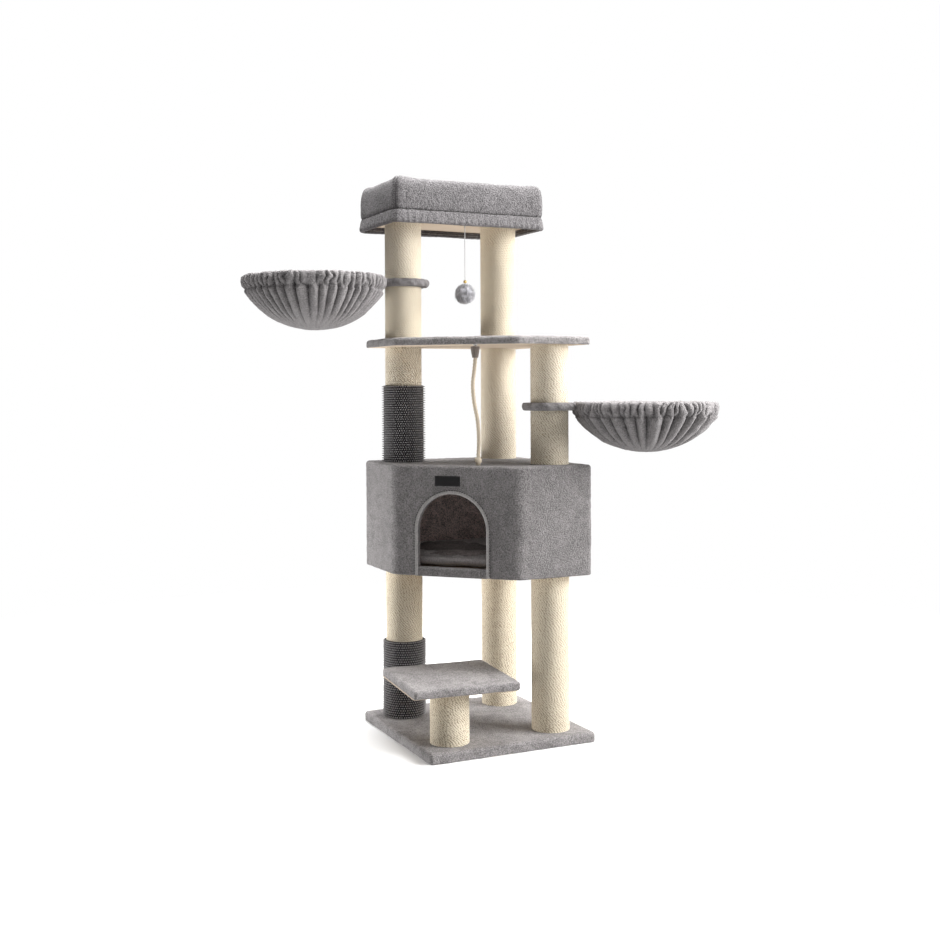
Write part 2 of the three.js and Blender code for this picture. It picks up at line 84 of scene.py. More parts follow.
# ---- materials ----------------------------------------------------------------------------------
class Look:
    """A material's node tree, built up from short calls."""

    def __init__(self, name, roughness=0.9, metallic=0.0, sheen=0.0, specular=0.3):
        self.material = bpy.data.materials.new(name)
        self.material.use_nodes = True
        self.tree = self.material.node_tree
        self.shader = self.tree.nodes["Principled BSDF"]
        settings = {"Roughness": roughness, "Metallic": metallic, "Specular IOR Level": specular}
        settings.update({"Sheen Weight": sheen, "Sheen Roughness": 0.5})
        for socket, value in settings.items():
            self.shader.inputs[socket].default_value = value

    def node(self, kind, links=(), values=(), **settings):
        made = self.tree.nodes.new(kind)
        for key, value in settings.items():
            setattr(made, key, value)
        for socket, value in dict(values).items():
            made.inputs[socket].default_value = value
        for socket, source in dict(links).items():
            self.tree.links.new(source, made.inputs[socket])
        return made

    def place(self, which="Object"):
        return self.node("ShaderNodeTexCoord").outputs[which]

    def stretch(self, vector, scale):
        return self.node(
            "ShaderNodeMapping", {"Vector": vector}, {"Scale": scale}
        ).outputs["Vector"]

    def noise(self, vector, scale, detail=3.0, rough=0.55, bend=0.0):
        return self.node(
            "ShaderNodeTexNoise",
            {"Vector": vector},
            {"Scale": scale, "Detail": detail, "Roughness": rough, "Distortion": bend},
        ).outputs["Fac"]

    def cells(self, vector, scale):
        return self.node(
            "ShaderNodeTexVoronoi", {"Vector": vector}, {"Scale": scale}
        ).outputs["Distance"]

    def math(self, kind, a, b=0.0, clamp=False):
        made = self.node("ShaderNodeMath", operation=kind, use_clamp=clamp)
        for i, value in enumerate((a, b)):
            if isinstance(value, (int, float)):
                made.inputs[i].default_value = value
            else:
                self.tree.links.new(value, made.inputs[i])
        return made.outputs[0]

    def amount(self, base, *parts):
        """base plus each (source, weight), where a source averages a half."""
        total = base
        for source, weight in parts:
            centred = self.math("MULTIPLY", self.math("SUBTRACT", source, 0.5), weight)
            total = self.math("ADD", centred, total)
        return self.math("ADD", total, 0.0, clamp=True)

    def colour(self, factor, low, high):
        made = self.node("ShaderNodeMix", data_type="RGBA")
        self.tree.links.new(factor, made.inputs[0])
        made.inputs[6].default_value = (*low, 1)
        made.inputs[7].default_value = (*high, 1)
        self.tree.links.new(made.outputs[2], self.shader.inputs["Base Color"])

    def bump(self, height, strength, distance, below=None):
        links = {"Height": height}
        if below is not None:
            links["Normal"] = below
        return self.node(
            "ShaderNodeBump", links, {"Strength": strength, "Distance": distance}
        ).outputs["Normal"]

    def normal(self, source):
        self.tree.links.new(source, self.shader.inputs["Normal"])


def scaled(colour, share):
    return tuple(c * share for c in colour)


def plush_look(name, colour, contrast=0.46, sheen=0.15, pile=290.0, depth=1.0, cloudy=1.5, crease_shade=0.0):
    """Short pile: fine tufts, cloudy patches where the nap lies another way, and a soft sheen.

    The last argument sets how much painted shade darkens the cloth where the UV's first axis marks a tight
    fold; it stands in for the shade deep in the fold."""
    look = Look(name, roughness=0.95, sheen=sheen, specular=0.1)
    at = look.place()
    cloud = look.noise(at, 15.0, 4.0, 0.6, 1.2)
    nap = look.noise(at, pile * 0.3, 3.0, 0.6, 0.9)
    tuft = look.noise(at, pile, 1.0, 0.5, 0.3)
    fine = look.noise(at, pile * 1.9, 2.0, 0.6)
    mixed = look.amount(0.5, (cloud, cloudy), (nap, 0.45), (tuft, 2.2), (fine, 2.2))
    # painted shade: the colour goes darker where the UV's first axis marks a tight fold
    if crease_shade:
        fold = look.node("ShaderNodeSeparateXYZ", {"Vector": look.place("UV")}).outputs[0]
        mixed = look.math("SUBTRACT", mixed, look.math("MULTIPLY", fold, crease_shade))
        low = 1 - contrast - 2 * contrast * crease_shade
        mixed = look.math("DIVIDE", look.math("ADD", mixed, crease_shade), 1 + crease_shade, clamp=True)
        look.colour(mixed, scaled(colour, max(low, 0.1)), scaled(colour, 1 + contrast))
    else:
        look.colour(mixed, scaled(colour, 1 - contrast), scaled(colour, 1 + contrast))
    soft = look.bump(nap, 0.3, 0.005 * depth)
    soft = look.bump(tuft, 0.8, 0.0045 * depth, soft)
    look.normal(look.bump(fine, 0.6, 0.002 * depth, soft))
    return look.material


def sisal_look(name, colour, shade=0.0):
    """Natural rope fibre. The UV's first axis runs along the rope in metres and the second across it."""
    look = Look(name, roughness=0.88, sheen=0.12, specular=0.2)
    at = look.place()
    split = look.node("ShaderNodeSeparateXYZ", {"Vector": look.place("UV")})
    along, across = split.outputs[0], split.outputs[1]
    # twisted strands: the colour is darker in the grooves between them, painted shade for relief the mesh
    # lacks, on top of the fibre's own tone; the same stripes drive a bump
    slant = look.math("ADD", look.math("MULTIPLY", along, 112.0), look.math("MULTIPLY", across, 0.7))
    strand_groove_shade = look.math("ABSOLUTE", look.math("SINE", look.math("MULTIPLY", slant, math.pi)))
    strand_groove_shade = look.math("POWER", strand_groove_shade, 0.7)
    thread = look.node("ShaderNodeCombineXYZ")
    look.tree.links.new(look.math("MULTIPLY", along, 75.0), thread.inputs[0])
    look.tree.links.new(look.math("MULTIPLY", across, 1.6), thread.inputs[1])
    fibre = look.noise(thread.outputs[0], 3.0, 4.0, 0.65, 0.6)
    patch = look.noise(look.stretch(at, (1.0, 1.0, 3.0)), 22.0, 2.0, 0.5)
    speck = look.noise(look.stretch(at, (1.0, 1.0, 1.6)), 215.0, 1.0, 0.5)
    mixed = look.amount(0.58 + shade, (strand_groove_shade, 1.9), (fibre, 2.6), (speck, 3.4), (patch, 0.4))
    look.colour(mixed, tuple(c * s for c, s in zip(colour, (0.42, 0.32, 0.2))), colour)
    rough = look.bump(strand_groove_shade, 0.9, 0.0026)
    look.normal(look.bump(speck, 0.9, 0.003, look.bump(fibre, 0.8, 0.002, rough)))
    return look.material


def board_look(name, colour):
    look = Look(name, roughness=0.8, specular=0.25)
    at = look.place()
    chips = look.cells(look.stretch(at, (1.0, 1.6, 1.0)), 210.0)
    cloud = look.noise(at, 9.0, 3.0)
    fine = look.noise(look.stretch(at, (1.0, 4.0, 1.0)), 160.0, 3.0, 0.6)
    mixed = look.amount(0.5, (chips, 0.35), (cloud, 0.6), (fine, 0.7))
    look.colour(mixed, scaled(colour, 0.9), scaled(colour, 1.07))
    look.normal(look.bump(fine, 0.15, 0.0006))
    return look.material


def plain_fibre_look(name, colour, scale=420.0, contrast=0.2, roughness=0.85, sheen=0.1):
    look = Look(name, roughness=roughness, sheen=sheen, specular=0.2)
    at = look.place()
    fibre = look.noise(look.stretch(at, (1.0, 1.0, 0.35)), scale, 4.0, 0.7, 0.3)
    cloud = look.noise(at, 60.0, 2.0)
    look.colour(
        look.amount(0.5, (fibre, 1.4), (cloud, 0.7)),
        scaled(colour, 1 - contrast),
        scaled(colour, 1 + contrast),
    )
    look.normal(look.bump(fibre, 0.4, 0.0008))
    return look.material


def metal_look(name, colour, roughness):
    look = Look(name, roughness=roughness, metallic=1.0, specular=0.5)
    at = look.place()
    worn = look.noise(at, 320.0, 3.0, 0.6)
    look.colour(look.amount(0.5, (worn, 0.8)), scaled(colour, 0.88), scaled(colour, 1.05))
    look.normal(look.bump(worn, 0.08, 0.0003))
    return look.material


PLUSH = plush_look("plush", (0.212, 0.2, 0.199), cloudy=1.0)
DECK_PLUSH = plush_look("plush_deck", (0.272, 0.256, 0.254))
PERCH_PLUSH = plush_look("plush_perch", (0.173, 0.164, 0.167), pile=250.0, depth=1.2, cloudy=0.7)
PLUSH_FINE = plush_look("plush_fine", (0.235, 0.222, 0.223), contrast=0.36, pile=300.0, cloudy=0.9)
# hammock cloth, with painted shade darkening its tight folds
HAMMOCK_PLUSH = plush_look(
    "plush_hammock", (0.254, 0.24, 0.241), contrast=0.4, pile=270.0, cloudy=0.9, crease_shade=1.1
)
HEM_PLUSH = plush_look("plush_hem", (0.39, 0.372, 0.365), contrast=0.22, pile=300.0, depth=0.4)
LINING = plush_look("plush_lining", (0.6, 0.5, 0.475), contrast=0.5, pile=230.0, depth=1.4)
CUSHION = plush_look("plush_cushion", (0.36, 0.33, 0.325), contrast=0.3, sheen=0.3)
# painted shade: much darker copies of the cushion's plush for its raised fold and pleat behind the doorway
CUSHION_SHADED_PLEAT = plush_look("plush_cushion_shaded_pleat", (0.2, 0.172, 0.165), contrast=0.35)
CUSHION_SHADED_FOLD = plush_look("plush_cushion_shaded_fold", (0.12, 0.1, 0.095), contrast=0.35)
SISAL_A = sisal_look("sisal_a", (1.0, 0.905, 0.725))
SISAL_B = sisal_look("sisal_b", (1.0, 0.91, 0.745), 0.03)
BOARD = board_look("board", (0.68, 0.555, 0.43))
CARDBOARD = board_look("cardboard", (0.46, 0.33, 0.2))
# the groomer is charcoal; the spines' light grey is painted highlight standing in for their glints
SPINE_GLINT_GREY = plain_fibre_look("bristle", (0.38, 0.369, 0.374), contrast=0.45, roughness=0.28)
MAT_BASE = plain_fibre_look("bristle_base", (0.03, 0.028, 0.029), contrast=0.2, roughness=0.7)
ROPE = plain_fibre_look("rope_fibre", (0.6, 0.52, 0.41), scale=700.0)
ROPE_CAP = plush_look("rope_cap", (0.24, 0.205, 0.18), contrast=0.15, pile=420.0)
STRING = plain_fibre_look("string", (0.62, 0.615, 0.61), scale=1500.0, contrast=0.1)
POMPOM = plain_fibre_look("pompom", (0.64, 0.636, 0.655), scale=150.0, contrast=0.9, sheen=0.3)
STITCH = plain_fibre_look("stitch", (0.05, 0.046, 0.046), scale=1500.0)
DARK_STITCH = plain_fibre_look("dark_stitch", (0.04, 0.037, 0.037), scale=1500.0)
TAG = plain_fibre_look("tag", (0.008, 0.0075, 0.008), scale=1800.0, contrast=0.3, roughness=0.7, sheen=0.0)
STEEL = metal_look("steel", (0.52, 0.53, 0.54), 0.35)
BRASS = metal_look("brass", (0.78, 0.56, 0.22), 0.28)


# ---- mesh helpers -------------------------------------------------------------------------------
def circle(count):
    """Angles evenly round a circle, starting at 0."""
    return np.arange(count) * TAU / count


def distance_along(path):
    """How far along a path each of its points lies."""
    return np.concatenate([[0], np.cumsum(np.linalg.norm(np.diff(path, axis=0), axis=1))])


def unit(vectors):
    """The same directions at length 1."""
    return vectors / np.linalg.norm(vectors, axis=-1, keepdims=True)


def halved(rows):
    """The rows of a table with one more halfway between each two."""
    rows = np.asarray(rows, float)
    fine = np.empty((2 * len(rows) - 1, *rows.shape[1:]))
    fine[::2] = rows
    fine[1::2] = (rows[:-1] + rows[1:]) / 2
    return fine


def level_points(loop):
    """The points of a flat (x, y) loop at height 0."""
    return np.column_stack([loop, np.zeros(len(loop))])


def lumps(points, size, seed=0):
    """Smooth random values from -1 to 1, with one bump about every size metres.

    The large whole numbers only scramble a grid point's place and seed into its value."""
    at = np.asarray(points, float) / size + 31.7 * (seed + 1)
    base = np.floor(at).astype(np.int64)
    part = at - base
    part = part * part * (3 - 2 * part)
    total = np.zeros(len(at))
    for corner in range(8):
        step = np.array([corner & 1, corner >> 1 & 1, corner >> 2 & 1])
        key = (base + step) @ np.array([73856093, 19349663, 83492791]) + seed * 40503
        key = (key ^ (key >> 13)) * 1274126177 & 0x7FFFFFFF
        key = (key ^ (key >> 15)) * 668265263 & 0x7FFFFFFF
        value = (key >> 7 & 0xFFFF) / 32767.5 - 1
        weight = np.where(step == 1, part, 1 - part).prod(axis=1)
        total += weight * value
    return total


def quads(rows, columns, closed=True, start=0):
    """Faces of a grid of points, row by row, as an array of indices."""
    last = columns if closed else columns - 1
    i, j = np.meshgrid(np.arange(rows - 1), np.arange(last), indexing="ij")
    k = (j + 1) % columns
    faces = np.stack([i * columns + j, i * columns + k, (i + 1) * columns + k, (i + 1) * columns + j], -1)
    return faces.reshape(-1, 4) + start


def piece(name, points, faces, look, body="tree", stands_for=(), slot=None, uv=None, smooth=True):
    """A mesh object from points in metres, riding on a body."""
    mesh = bpy.data.meshes.new(name)
    mesh.from_pydata(np.asarray(points, float).tolist(), [], [list(map(int, f)) for f in faces])
    mesh.polygons.foreach_set("use_smooth", [smooth] * len(mesh.polygons))
    mesh.update()
    if uv is not None:
        layer = mesh.uv_layers.new(name="UVMap")
        corner = np.empty(len(mesh.loops), np.int32)
        mesh.loops.foreach_get("vertex_index", corner)
        layer.data.foreach_set("uv", uv[corner].astype(np.float32).ravel())
    mesh.materials.append(look)
    made = bpy.data.objects.new(name, mesh)
    bpy.context.scene.collection.objects.link(made)
    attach(made, body)
    if stands_for:
        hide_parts(*stands_for)
    return made


def normals_of(points, faces):
    """Outward vertex normals of a mesh given as arrays."""
    faces = np.asarray(faces)
    a, b, c = points[faces[:, 0]], points[faces[:, 1]], points[faces[:, 2]]
    d = points[faces[:, 3]] if faces.shape[1] == 4 else c
    face = np.cross(c - a, d - b) if faces.shape[1] == 4 else np.cross(b - a, c - a)
    total = np.zeros_like(points)
    for k in range(faces.shape[1]):
        np.add.at(total, faces[:, k], face)
    length = np.linalg.norm(total, axis=1, keepdims=True)
    return total / np.maximum(length, 1e-12)


def rounded_loop(corners, counts, arc=8):
    """Points round a convex polygon whose corners are rounded, counter-clockwise.

    corners are (x, y, radius); counts say how many points lie inside each side that follows a corner."""
    points, spots = [], []
    number = len(corners)
    for i in range(number):
        here = np.array(corners[i][:2], float)
        back = np.array(corners[i - 1][:2], float) - here
        ahead = np.array(corners[(i + 1) % number][:2], float) - here
        back, ahead = unit(back), unit(ahead)
        half = math.acos(float(np.clip(back @ ahead, -1, 1))) / 2
        radius = corners[i][2]
        middle = back + ahead
        centre = here + unit(middle) * radius / math.sin(half)
        first = here + back * radius / math.tan(half) - centre
        sweep = math.pi - 2 * half
        turns = np.linspace(0, sweep, arc + 1)
        c, s = np.cos(turns), np.sin(turns)
        turned = [first[0] * c - first[1] * s, first[0] * s + first[1] * c]
        spots.append(np.stack([centre[0] + turned[0], centre[1] + turned[1]], -1))
    for i in range(number):
        points.append(spots[i])
        start, end = spots[i][-1], spots[(i + 1) % number][0]
        share = np.linspace(0, 1, counts[i] + 2)[1:-1, None]
        points.append(start + (end - start) * share)
    return np.concatenate(points)


def side_counts(corners, spacing):
    number = len(corners)
    sides = [math.dist(corners[i][:2], corners[(i + 1) % number][:2]) for i in range(number)]
    return [max(2, round((s - 2 * 10 * MM) / spacing)) for s in sides]


def swept(corners_at, profile, spacing, arc=8):
    """Rows of points: each (inset, z) of the profile taken round the outline for that inset."""
    counts = side_counts(corners_at(0.0), spacing)
    rows = []
    for inset, z in profile:
        loop = rounded_loop(corners_at(inset), counts, arc)
        rows.append(np.column_stack([loop, np.full(len(loop), z)]))
    return np.array(rows)


def grid_of(rows, closed=True):
    """Points and faces of a mesh from rows of points, round a loop or along a strip."""
    rows = np.asarray(rows)
    return rows.reshape(-1, 3), quads(len(rows), rows.shape[1], closed)


def capped(rows, centre, spacing):
    """Rows that fill the last loop in towards its centre."""
    last = rows[-1]
    reach = np.linalg.norm(last[:, :2] - centre, axis=1).mean()
    count = max(4, round(reach / spacing))
    shares = np.linspace(1, 0.004, count)[1:]
    middle = np.array([centre[0], centre[1], last[0, 2]])
    extra = [middle + (last - middle) * share for share in shares]
    return np.concatenate([rows, np.array(extra)])


def soften(points, faces, *layers):
    """Moves points along their normals by the sum of (size, height, seed) lumps."""
    outward = normals_of(points, faces)
    move = sum(height * lumps(points, size, seed) for size, height, seed in layers)
    return points + outward * move[:, None]


def edge_rise(radius, bottom, up, steps=6, inset=0.0):
    """A quarter round from a level edge into the vertical (up) or from the vertical into the level."""
    turns = np.linspace(0, math.pi / 2, steps + 1)
    if up:
        return [(inset + radius * (1 - math.sin(t)), bottom + radius * (1 - math.cos(t))) for t in turns]
    return [(inset + radius * (1 - math.cos(t)), bottom - radius * (1 - math.sin(t))) for t in turns]


def rows_between(low, high, spacing, inset=0.0):
    count = max(2, round((high - low) / spacing))
    return [(inset, z) for z in np.linspace(low, high, count + 1)[1:-1]]


def rectangle_corners(width, depth, radius, centre=(0.0, 0.0), turn=0.0):
    """Corner list of a rectangle for any inset."""

    def at(inset):
        x, y = width / 2 - inset, depth / 2 - inset
        r = max(radius - inset, 2 * MM)
        c, s = math.cos(turn), math.sin(turn)
        found = []
        for px, py in ((-x, -y), (x, -y), (x, y), (-x, y)):
            found.append((centre[0] + px * c - py * s, centre[1] + px * s + py * c, r))
        return found

    return at


DECK_X, DECK_Y, DECK_CUT = 0.2625, 0.26, 0.28
DECK_MIDDLE = (0.03, 0.03)


def deck_corners(fold, corner):
    """The shared outline of the cave and the platform, with its front left corner cut off."""

    def at(inset):
        x, y = DECK_X - inset, DECK_Y - inset
        cut = DECK_CUT - DECK_X - DECK_Y + inset * math.sqrt(2)
        f, c = max(fold - inset, 3 * MM), max(corner - inset, 2 * MM)
        return [(cut + y, -y, f), (x, -y, c), (x, y, c), (-x, y, c), (-x, cut + x, f)]

    return at


def tube_along(path, radius, around=8, closed=False):
    """Points and faces of a tube that follows a path, with parallel-carried sections."""
    path = np.asarray(path, float)
    count = len(path)
    ahead = np.roll(path, -1, 0) - np.roll(path, 1, 0) if closed else np.gradient(path, axis=0)
    ahead = unit(ahead)
    side = np.cross(ahead[0], [0, 0, 1.0])
    if np.linalg.norm(side) < 1e-3:
        side = np.cross(ahead[0], [1.0, 0, 0])
    side = unit(side)
    radius = np.broadcast_to(np.asarray(radius, float), (count,))
    turns = circle(around)
    rows = []
    for i in range(count):
        side = unit(side - ahead[i] * (side @ ahead[i]))
        other = np.cross(ahead[i], side)
        ring = np.outer(np.cos(turns), side) + np.outer(np.sin(turns), other)
        rows.append(path[i] + ring * radius[i])
    points = np.concatenate(rows)
    faces = quads(count, around)
    if closed:
        first = np.arange(around)
        after = (first + 1) % around
        last = (count - 1) * around
        seam = np.stack([last + first, last + after, after, first], -1)
        faces = np.concatenate([faces, seam])
    return points, faces


def merged(parts):
    """Joins (points, faces) pairs, where the faces of every part have the same number of corners."""
    points, faces, start = [], [], 0
    for p, f in parts:
        points.append(p)
        faces.append(np.asarray(f) + start)
        start += len(p)
    return np.concatenate(points), np.concatenate(faces)


def lathe(profile, around, centre=(0.0, 0.0, 0.0)):
    """A body turned about Z through centre. The profile is (radius, z), upwards along the outside."""
    turns = circle(around)
    rows = [
        np.column_stack([r * np.cos(turns), r * np.sin(turns), np.full(around, z)]) for r, z in profile
    ]
    return np.concatenate(rows) + np.array(centre), quads(len(profile), around)


def cones(bases, directions, radius, height, around=5):
    """Short spikes as triangles."""
    bases, directions = np.asarray(bases, float), np.asarray(directions, float)
    directions = unit(directions)
    helper = np.where(np.abs(directions[:, 2:3]) > 0.9, [[1.0, 0, 0]], [[0, 0, 1.0]])
    side = unit(np.cross(directions, helper))
    other = np.cross(directions, side)
    height = np.broadcast_to(np.asarray(height, float), (len(bases),))
    points, number = [], len(bases)
    for k in range(around):
        turn = TAU * k / around
        points.append(bases + radius * (math.cos(turn) * side + math.sin(turn) * other))
    points.append(bases + directions * height[:, None])
    points = np.stack(points, 1).reshape(-1, 3)
    first = np.arange(number)[:, None] * (around + 1)
    faces = [np.hstack([first + k, first + (k + 1) % around, first + around]) for k in range(around)]
    return points, np.concatenate(faces)


def stitches(path, length, gap, radius):
    """Short thread dashes along a path, as one mesh."""
    along = distance_along(path)
    parts, at = [], 0.0
    while at + length < along[-1]:
        spots = np.linspace(at, at + length, 5)
        line = np.stack([np.interp(spots, along, path[:, k]) for k in range(3)], -1)
        size = radius * np.array([0.45, 0.9, 1.0, 0.9, 0.45])
        parts.append(tube_along(line, size, 5))
        at += length + gap
    return merged(parts)


# ---- plain CAD parts that stay visible ----------------------------------------------------------
for name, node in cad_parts.items():
    look = CARDBOARD if name.endswith("_core") else BOARD if name.endswith("_board") else STEEL
    if name.endswith("_core") or name.endswith("_board") or name.endswith("_frame"):
        node.data.materials.clear()
        node.data.materials.append(look)

# ---- base, step and platform --------------------------------------------------------------------
BASE_SIZE, BASE_TOP = 0.534, 0.03


def covered_slab(name, corners_at, bottom, top, centre, node, edge, under, spacing=6 * MM):
    """A board's plush cover: rolled edges, a slightly puffed top and a hem under the board."""
    profile = [(3.4 * MM, bottom + 0.3 * MM)] if under else [(edge * 0.5, bottom)]
    profile += edge_rise(3.2 * MM if under else edge * 0.5, bottom, True, 4)[1:]
    profile += rows_between(profile[-1][1], top - edge, 5 * MM)
    profile += edge_rise(edge, top, False, 7)
    rows = swept(corners_at, profile, spacing)
    rows = capped(rows, centre, spacing * 1.3)
    points, faces = grid_of(rows)
    points = soften(points, faces, (0.05, 0.7 * MM, 1), (0.014, 0.45 * MM, 2), (0.008, 0.45 * MM, 3))
    points[:, 2] = np.maximum(points[:, 2], bottom)
    piece(name, points, faces, DECK_PLUSH, stands_for=[node], slot="plush")


BASE_OUTLINE = rectangle_corners(BASE_SIZE + 1.5 * MM, BASE_SIZE + 1.5 * MM, 10 * MM)
covered_slab("base_plush", BASE_OUTLINE, 0.0, BASE_TOP, (0, 0), "base_cover", 9 * MM, False, 5 * MM)
STEP_CENTRE, STEP_TURN = (-0.141, -0.118), math.radians(-5)
STEP_BOARD_BOTTOM, STEP_BOARD_TOP = 0.1861, 0.1881
covered_slab(
    "step_plush", rectangle_corners(0.3225, 0.3225, 10 * MM, STEP_CENTRE, STEP_TURN), STEP_BOARD_TOP, 0.212,
    STEP_CENTRE, "step_cover", 8 * MM, True, 5 * MM,
)
step_edge = swept(
    rectangle_corners(0.3185, 0.3185, 10 * MM, (STEP_CENTRE[0] - 2 * MM, STEP_CENTRE[1] + 2 * MM), STEP_TURN),
    [
        (5 * MM, STEP_BOARD_BOTTOM), (0.4 * MM, STEP_BOARD_BOTTOM), (0, STEP_BOARD_BOTTOM + 0.2 * MM),
        (0, STEP_BOARD_TOP - 0.3 * MM), (0.4 * MM, STEP_BOARD_TOP), (5 * MM, STEP_BOARD_TOP),
    ],
    6 * MM,
)
piece("step_board_edge", *grid_of(step_edge), BOARD, slot="board")
covered_slab(
    "platform_plush", deck_corners(24 * MM, 16 * MM), 1.1853, 1.2095, DECK_MIDDLE, "platform_cover",
    10 * MM, True,
)

# ---- posts --------------------------------------------------------------------------------------
POST_RADIUS = 0.0575
POSTS = {"step": (-0.167, -0.172), "left": (-0.167, 0.172), "back": (0.167, 0.172), "right": (0.167, -0.172)}
WRAP, ROPE_DIP = 5.4 * MM, 1.5 * MM


def sisal_sleeve(node, centre, look, twist_start):
    """Rope wound tightly round a post, one turn above the other, with every wrap slightly uneven."""
    low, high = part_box(node)
    columns = 72
    wraps = (high.z - low.z) / WRAP
    number = int(math.ceil(wraps)) + 2
    across = np.array([0.0, 0.12, 0.32, 0.55, 0.78, 0.93])
    dip = np.array([1.0, 0.42, 0.06, 0.0, 0.12, 0.5])
    turn = np.arange(columns + 1) * TAU / columns
    z, r, along, side = [], [], [], []
    for w in range(-1, number):
        for a, d in zip(across, dip):
            height = low.z + (w + a + turn / TAU) * WRAP
            z.append(height)
            r.append(np.full(columns + 1, POST_RADIUS - ROPE_DIP * d))
            along.append((w + turn / TAU) * TAU * POST_RADIUS)
            side.append(np.full(columns + 1, w + a))
    z, r, along, side = map(np.array, (z, r, along, side))
    turns = np.broadcast_to(turn + twist_start, z.shape)
    flat = np.stack([along * 14, np.floor(side) * 5.0, np.zeros_like(along)], -1).reshape(-1, 3)
    r = r + 0.35 * MM * lumps(flat, 0.5, 3).reshape(r.shape)
    z = z + 0.3 * MM * lumps(flat, 0.9, 4).reshape(r.shape)
    z = np.clip(z, low.z, high.z)
    points = np.stack([centre[0] + r * np.cos(turns), centre[1] + r * np.sin(turns), z], -1).reshape(-1, 3)
    spin = np.stack([along, np.zeros_like(along), np.zeros_like(along)], -1).reshape(-1, 3)
    along = along + (0.018 * lumps(spin, 0.19, 5) + 0.006 * lumps(spin, 0.05, 6)).reshape(z.shape)
    uv = np.stack([along, side], -1).reshape(-1, 2)
    faces = quads(len(z), columns + 1, closed=False)
    tall = np.ptp(points[faces][:, :, 2], axis=1) > 1e-5
    piece(node + "_rope", points, faces[tall], look, stands_for=[node], slot="sisal", uv=uv)


for node in sorted(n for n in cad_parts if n.endswith("_sisal")):
    post = POSTS[node.split("_")[1]]
    upper = "_b_" in node or "mid" in node
    sisal_sleeve(node, post, SISAL_B if upper else SISAL_A, 0.7 * len(node))


def groomer(node, centre):
    """A flexible mat of short soft spines wrapped round a post."""
    low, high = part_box(node)
    skin = 62.6 * MM
    profile = [
        (58.6 * MM, low.z), (skin - 1 * MM, low.z), (skin, low.z + 1 * MM),
        (skin, (low.z + high.z) / 2), (skin, high.z - 1 * MM), (skin - 1 * MM, high.z), (58.6 * MM, high.z),
    ]
    points, faces = lathe(profile, 72, (centre[0], centre[1], 0))
    piece(node + "_mat", points, faces, MAT_BASE, stands_for=[node], slot="bristle")
    around, rows = 54, 33
    bases, directions = [], []
    random = np.random.default_rng(RANDOM_SEED)
    for i in range(rows):
        z = low.z + 3.5 * MM + (high.z - low.z - 7 * MM) * i / (rows - 1)
        for j in range(around):
            turn = TAU * (j + 0.5 * (i % 2)) / around + random.normal(0, 0.006)
            out = np.array([math.cos(turn), math.sin(turn), random.normal(0, 0.08)])
            root = skin - 0.2 * MM
            bases.append([centre[0] + root * math.cos(turn), centre[1] + root * math.sin(turn), z])
            directions.append(out)
    heights = 7.2 * MM * random.uniform(0.85, 1.08, len(bases))
    points, faces = cones(bases, directions, 2.5 * MM, heights, 6)
    # spines in light grey: painted highlight for glints on charcoal
    piece(node + "_spines", points, faces, SPINE_GLINT_GREY, slot="bristle", smooth=False)


groomer("groomer_low", POSTS["left"])
groomer("groomer_mid", POSTS["left"])

# ---- cave ---------------------------------------------------------------------------------------
CAVE_BOTTOM, CAVE_TOP, CAVE_CEILING, CARPET = 0.4973, 0.827, 0.8012, 0.5235
DOOR_HALF, DOOR_HEAD = 0.1085, 0.6345
DOOR_PLACE = np.array([-0.13028, -0.11222])
DOOR_ALONG = np.array([math.sqrt(0.5), -math.sqrt(0.5)])
DOOR_OUT = np.array([-math.sqrt(0.5), -math.sqrt(0.5)])
cave_corners = deck_corners(46 * MM, 16 * MM)


def on_door(across, z, out):
    """Points of the cut face: across to the right, up by z and outwards."""
    across, z, out = np.broadcast_arrays(np.asarray(across, float), z, out)
    flat = DOOR_PLACE + across[..., None] * DOOR_ALONG + out[..., None] * DOOR_OUT
    return np.concatenate([flat, z[..., None]], -1)


def arch_line(grow, bottom, spacing=5 * MM):
    """(across, z) points up one side of the doorway, over its round head and down the other."""
    r = DOOR_HALF + grow
    leg = max(4, round((DOOR_HEAD - bottom) / spacing))
    head = max(12, round(math.pi * r / spacing))
    left = [(-r, z) for z in np.linspace(bottom, DOOR_HEAD, leg, endpoint=False)]
    top = [(-r * math.cos(t), DOOR_HEAD + r * math.sin(t)) for t in np.linspace(0, math.pi, head)]
    right = [(r, z) for z in np.linspace(DOOR_HEAD, bottom, leg + 1)[1:]]
    return np.array(left + top + right)


def door_cut(points, faces, grow=0.0):
    """Takes the doorway out of a wall's mesh and draws the edge of the hole onto the arch."""
    flat = points[:, :2] - DOOR_PLACE
    across, out, z = flat @ DOOR_ALONG, flat @ DOOR_OUT, points[:, 2]
    r = DOOR_HALF + grow
    far = np.hypot(across, np.maximum(z - DOOR_HEAD, 0))
    inside = (far < r) & (out > -0.06)
    gone = inside[faces].mean(axis=1) > 0.5
    kept = faces[~gone]
    edge = np.intersect1d(np.unique(faces[gone]), np.unique(kept))
    for i in edge:
        if out[i] < -0.06:
            continue
        if z[i] <= DOOR_HEAD:
            new = (math.copysign(r, across[i]), z[i])
        else:
            share = r / max(far[i], 1e-9)
            new = (across[i] * share, DOOR_HEAD + (z[i] - DOOR_HEAD) * share)
        if abs(new[0] - across[i]) < 9 * MM and abs(new[1] - z[i]) < 9 * MM:
            points[i, :2] += DOOR_ALONG * (new[0] - across[i])
            points[i, 2] = new[1]
    return points, kept


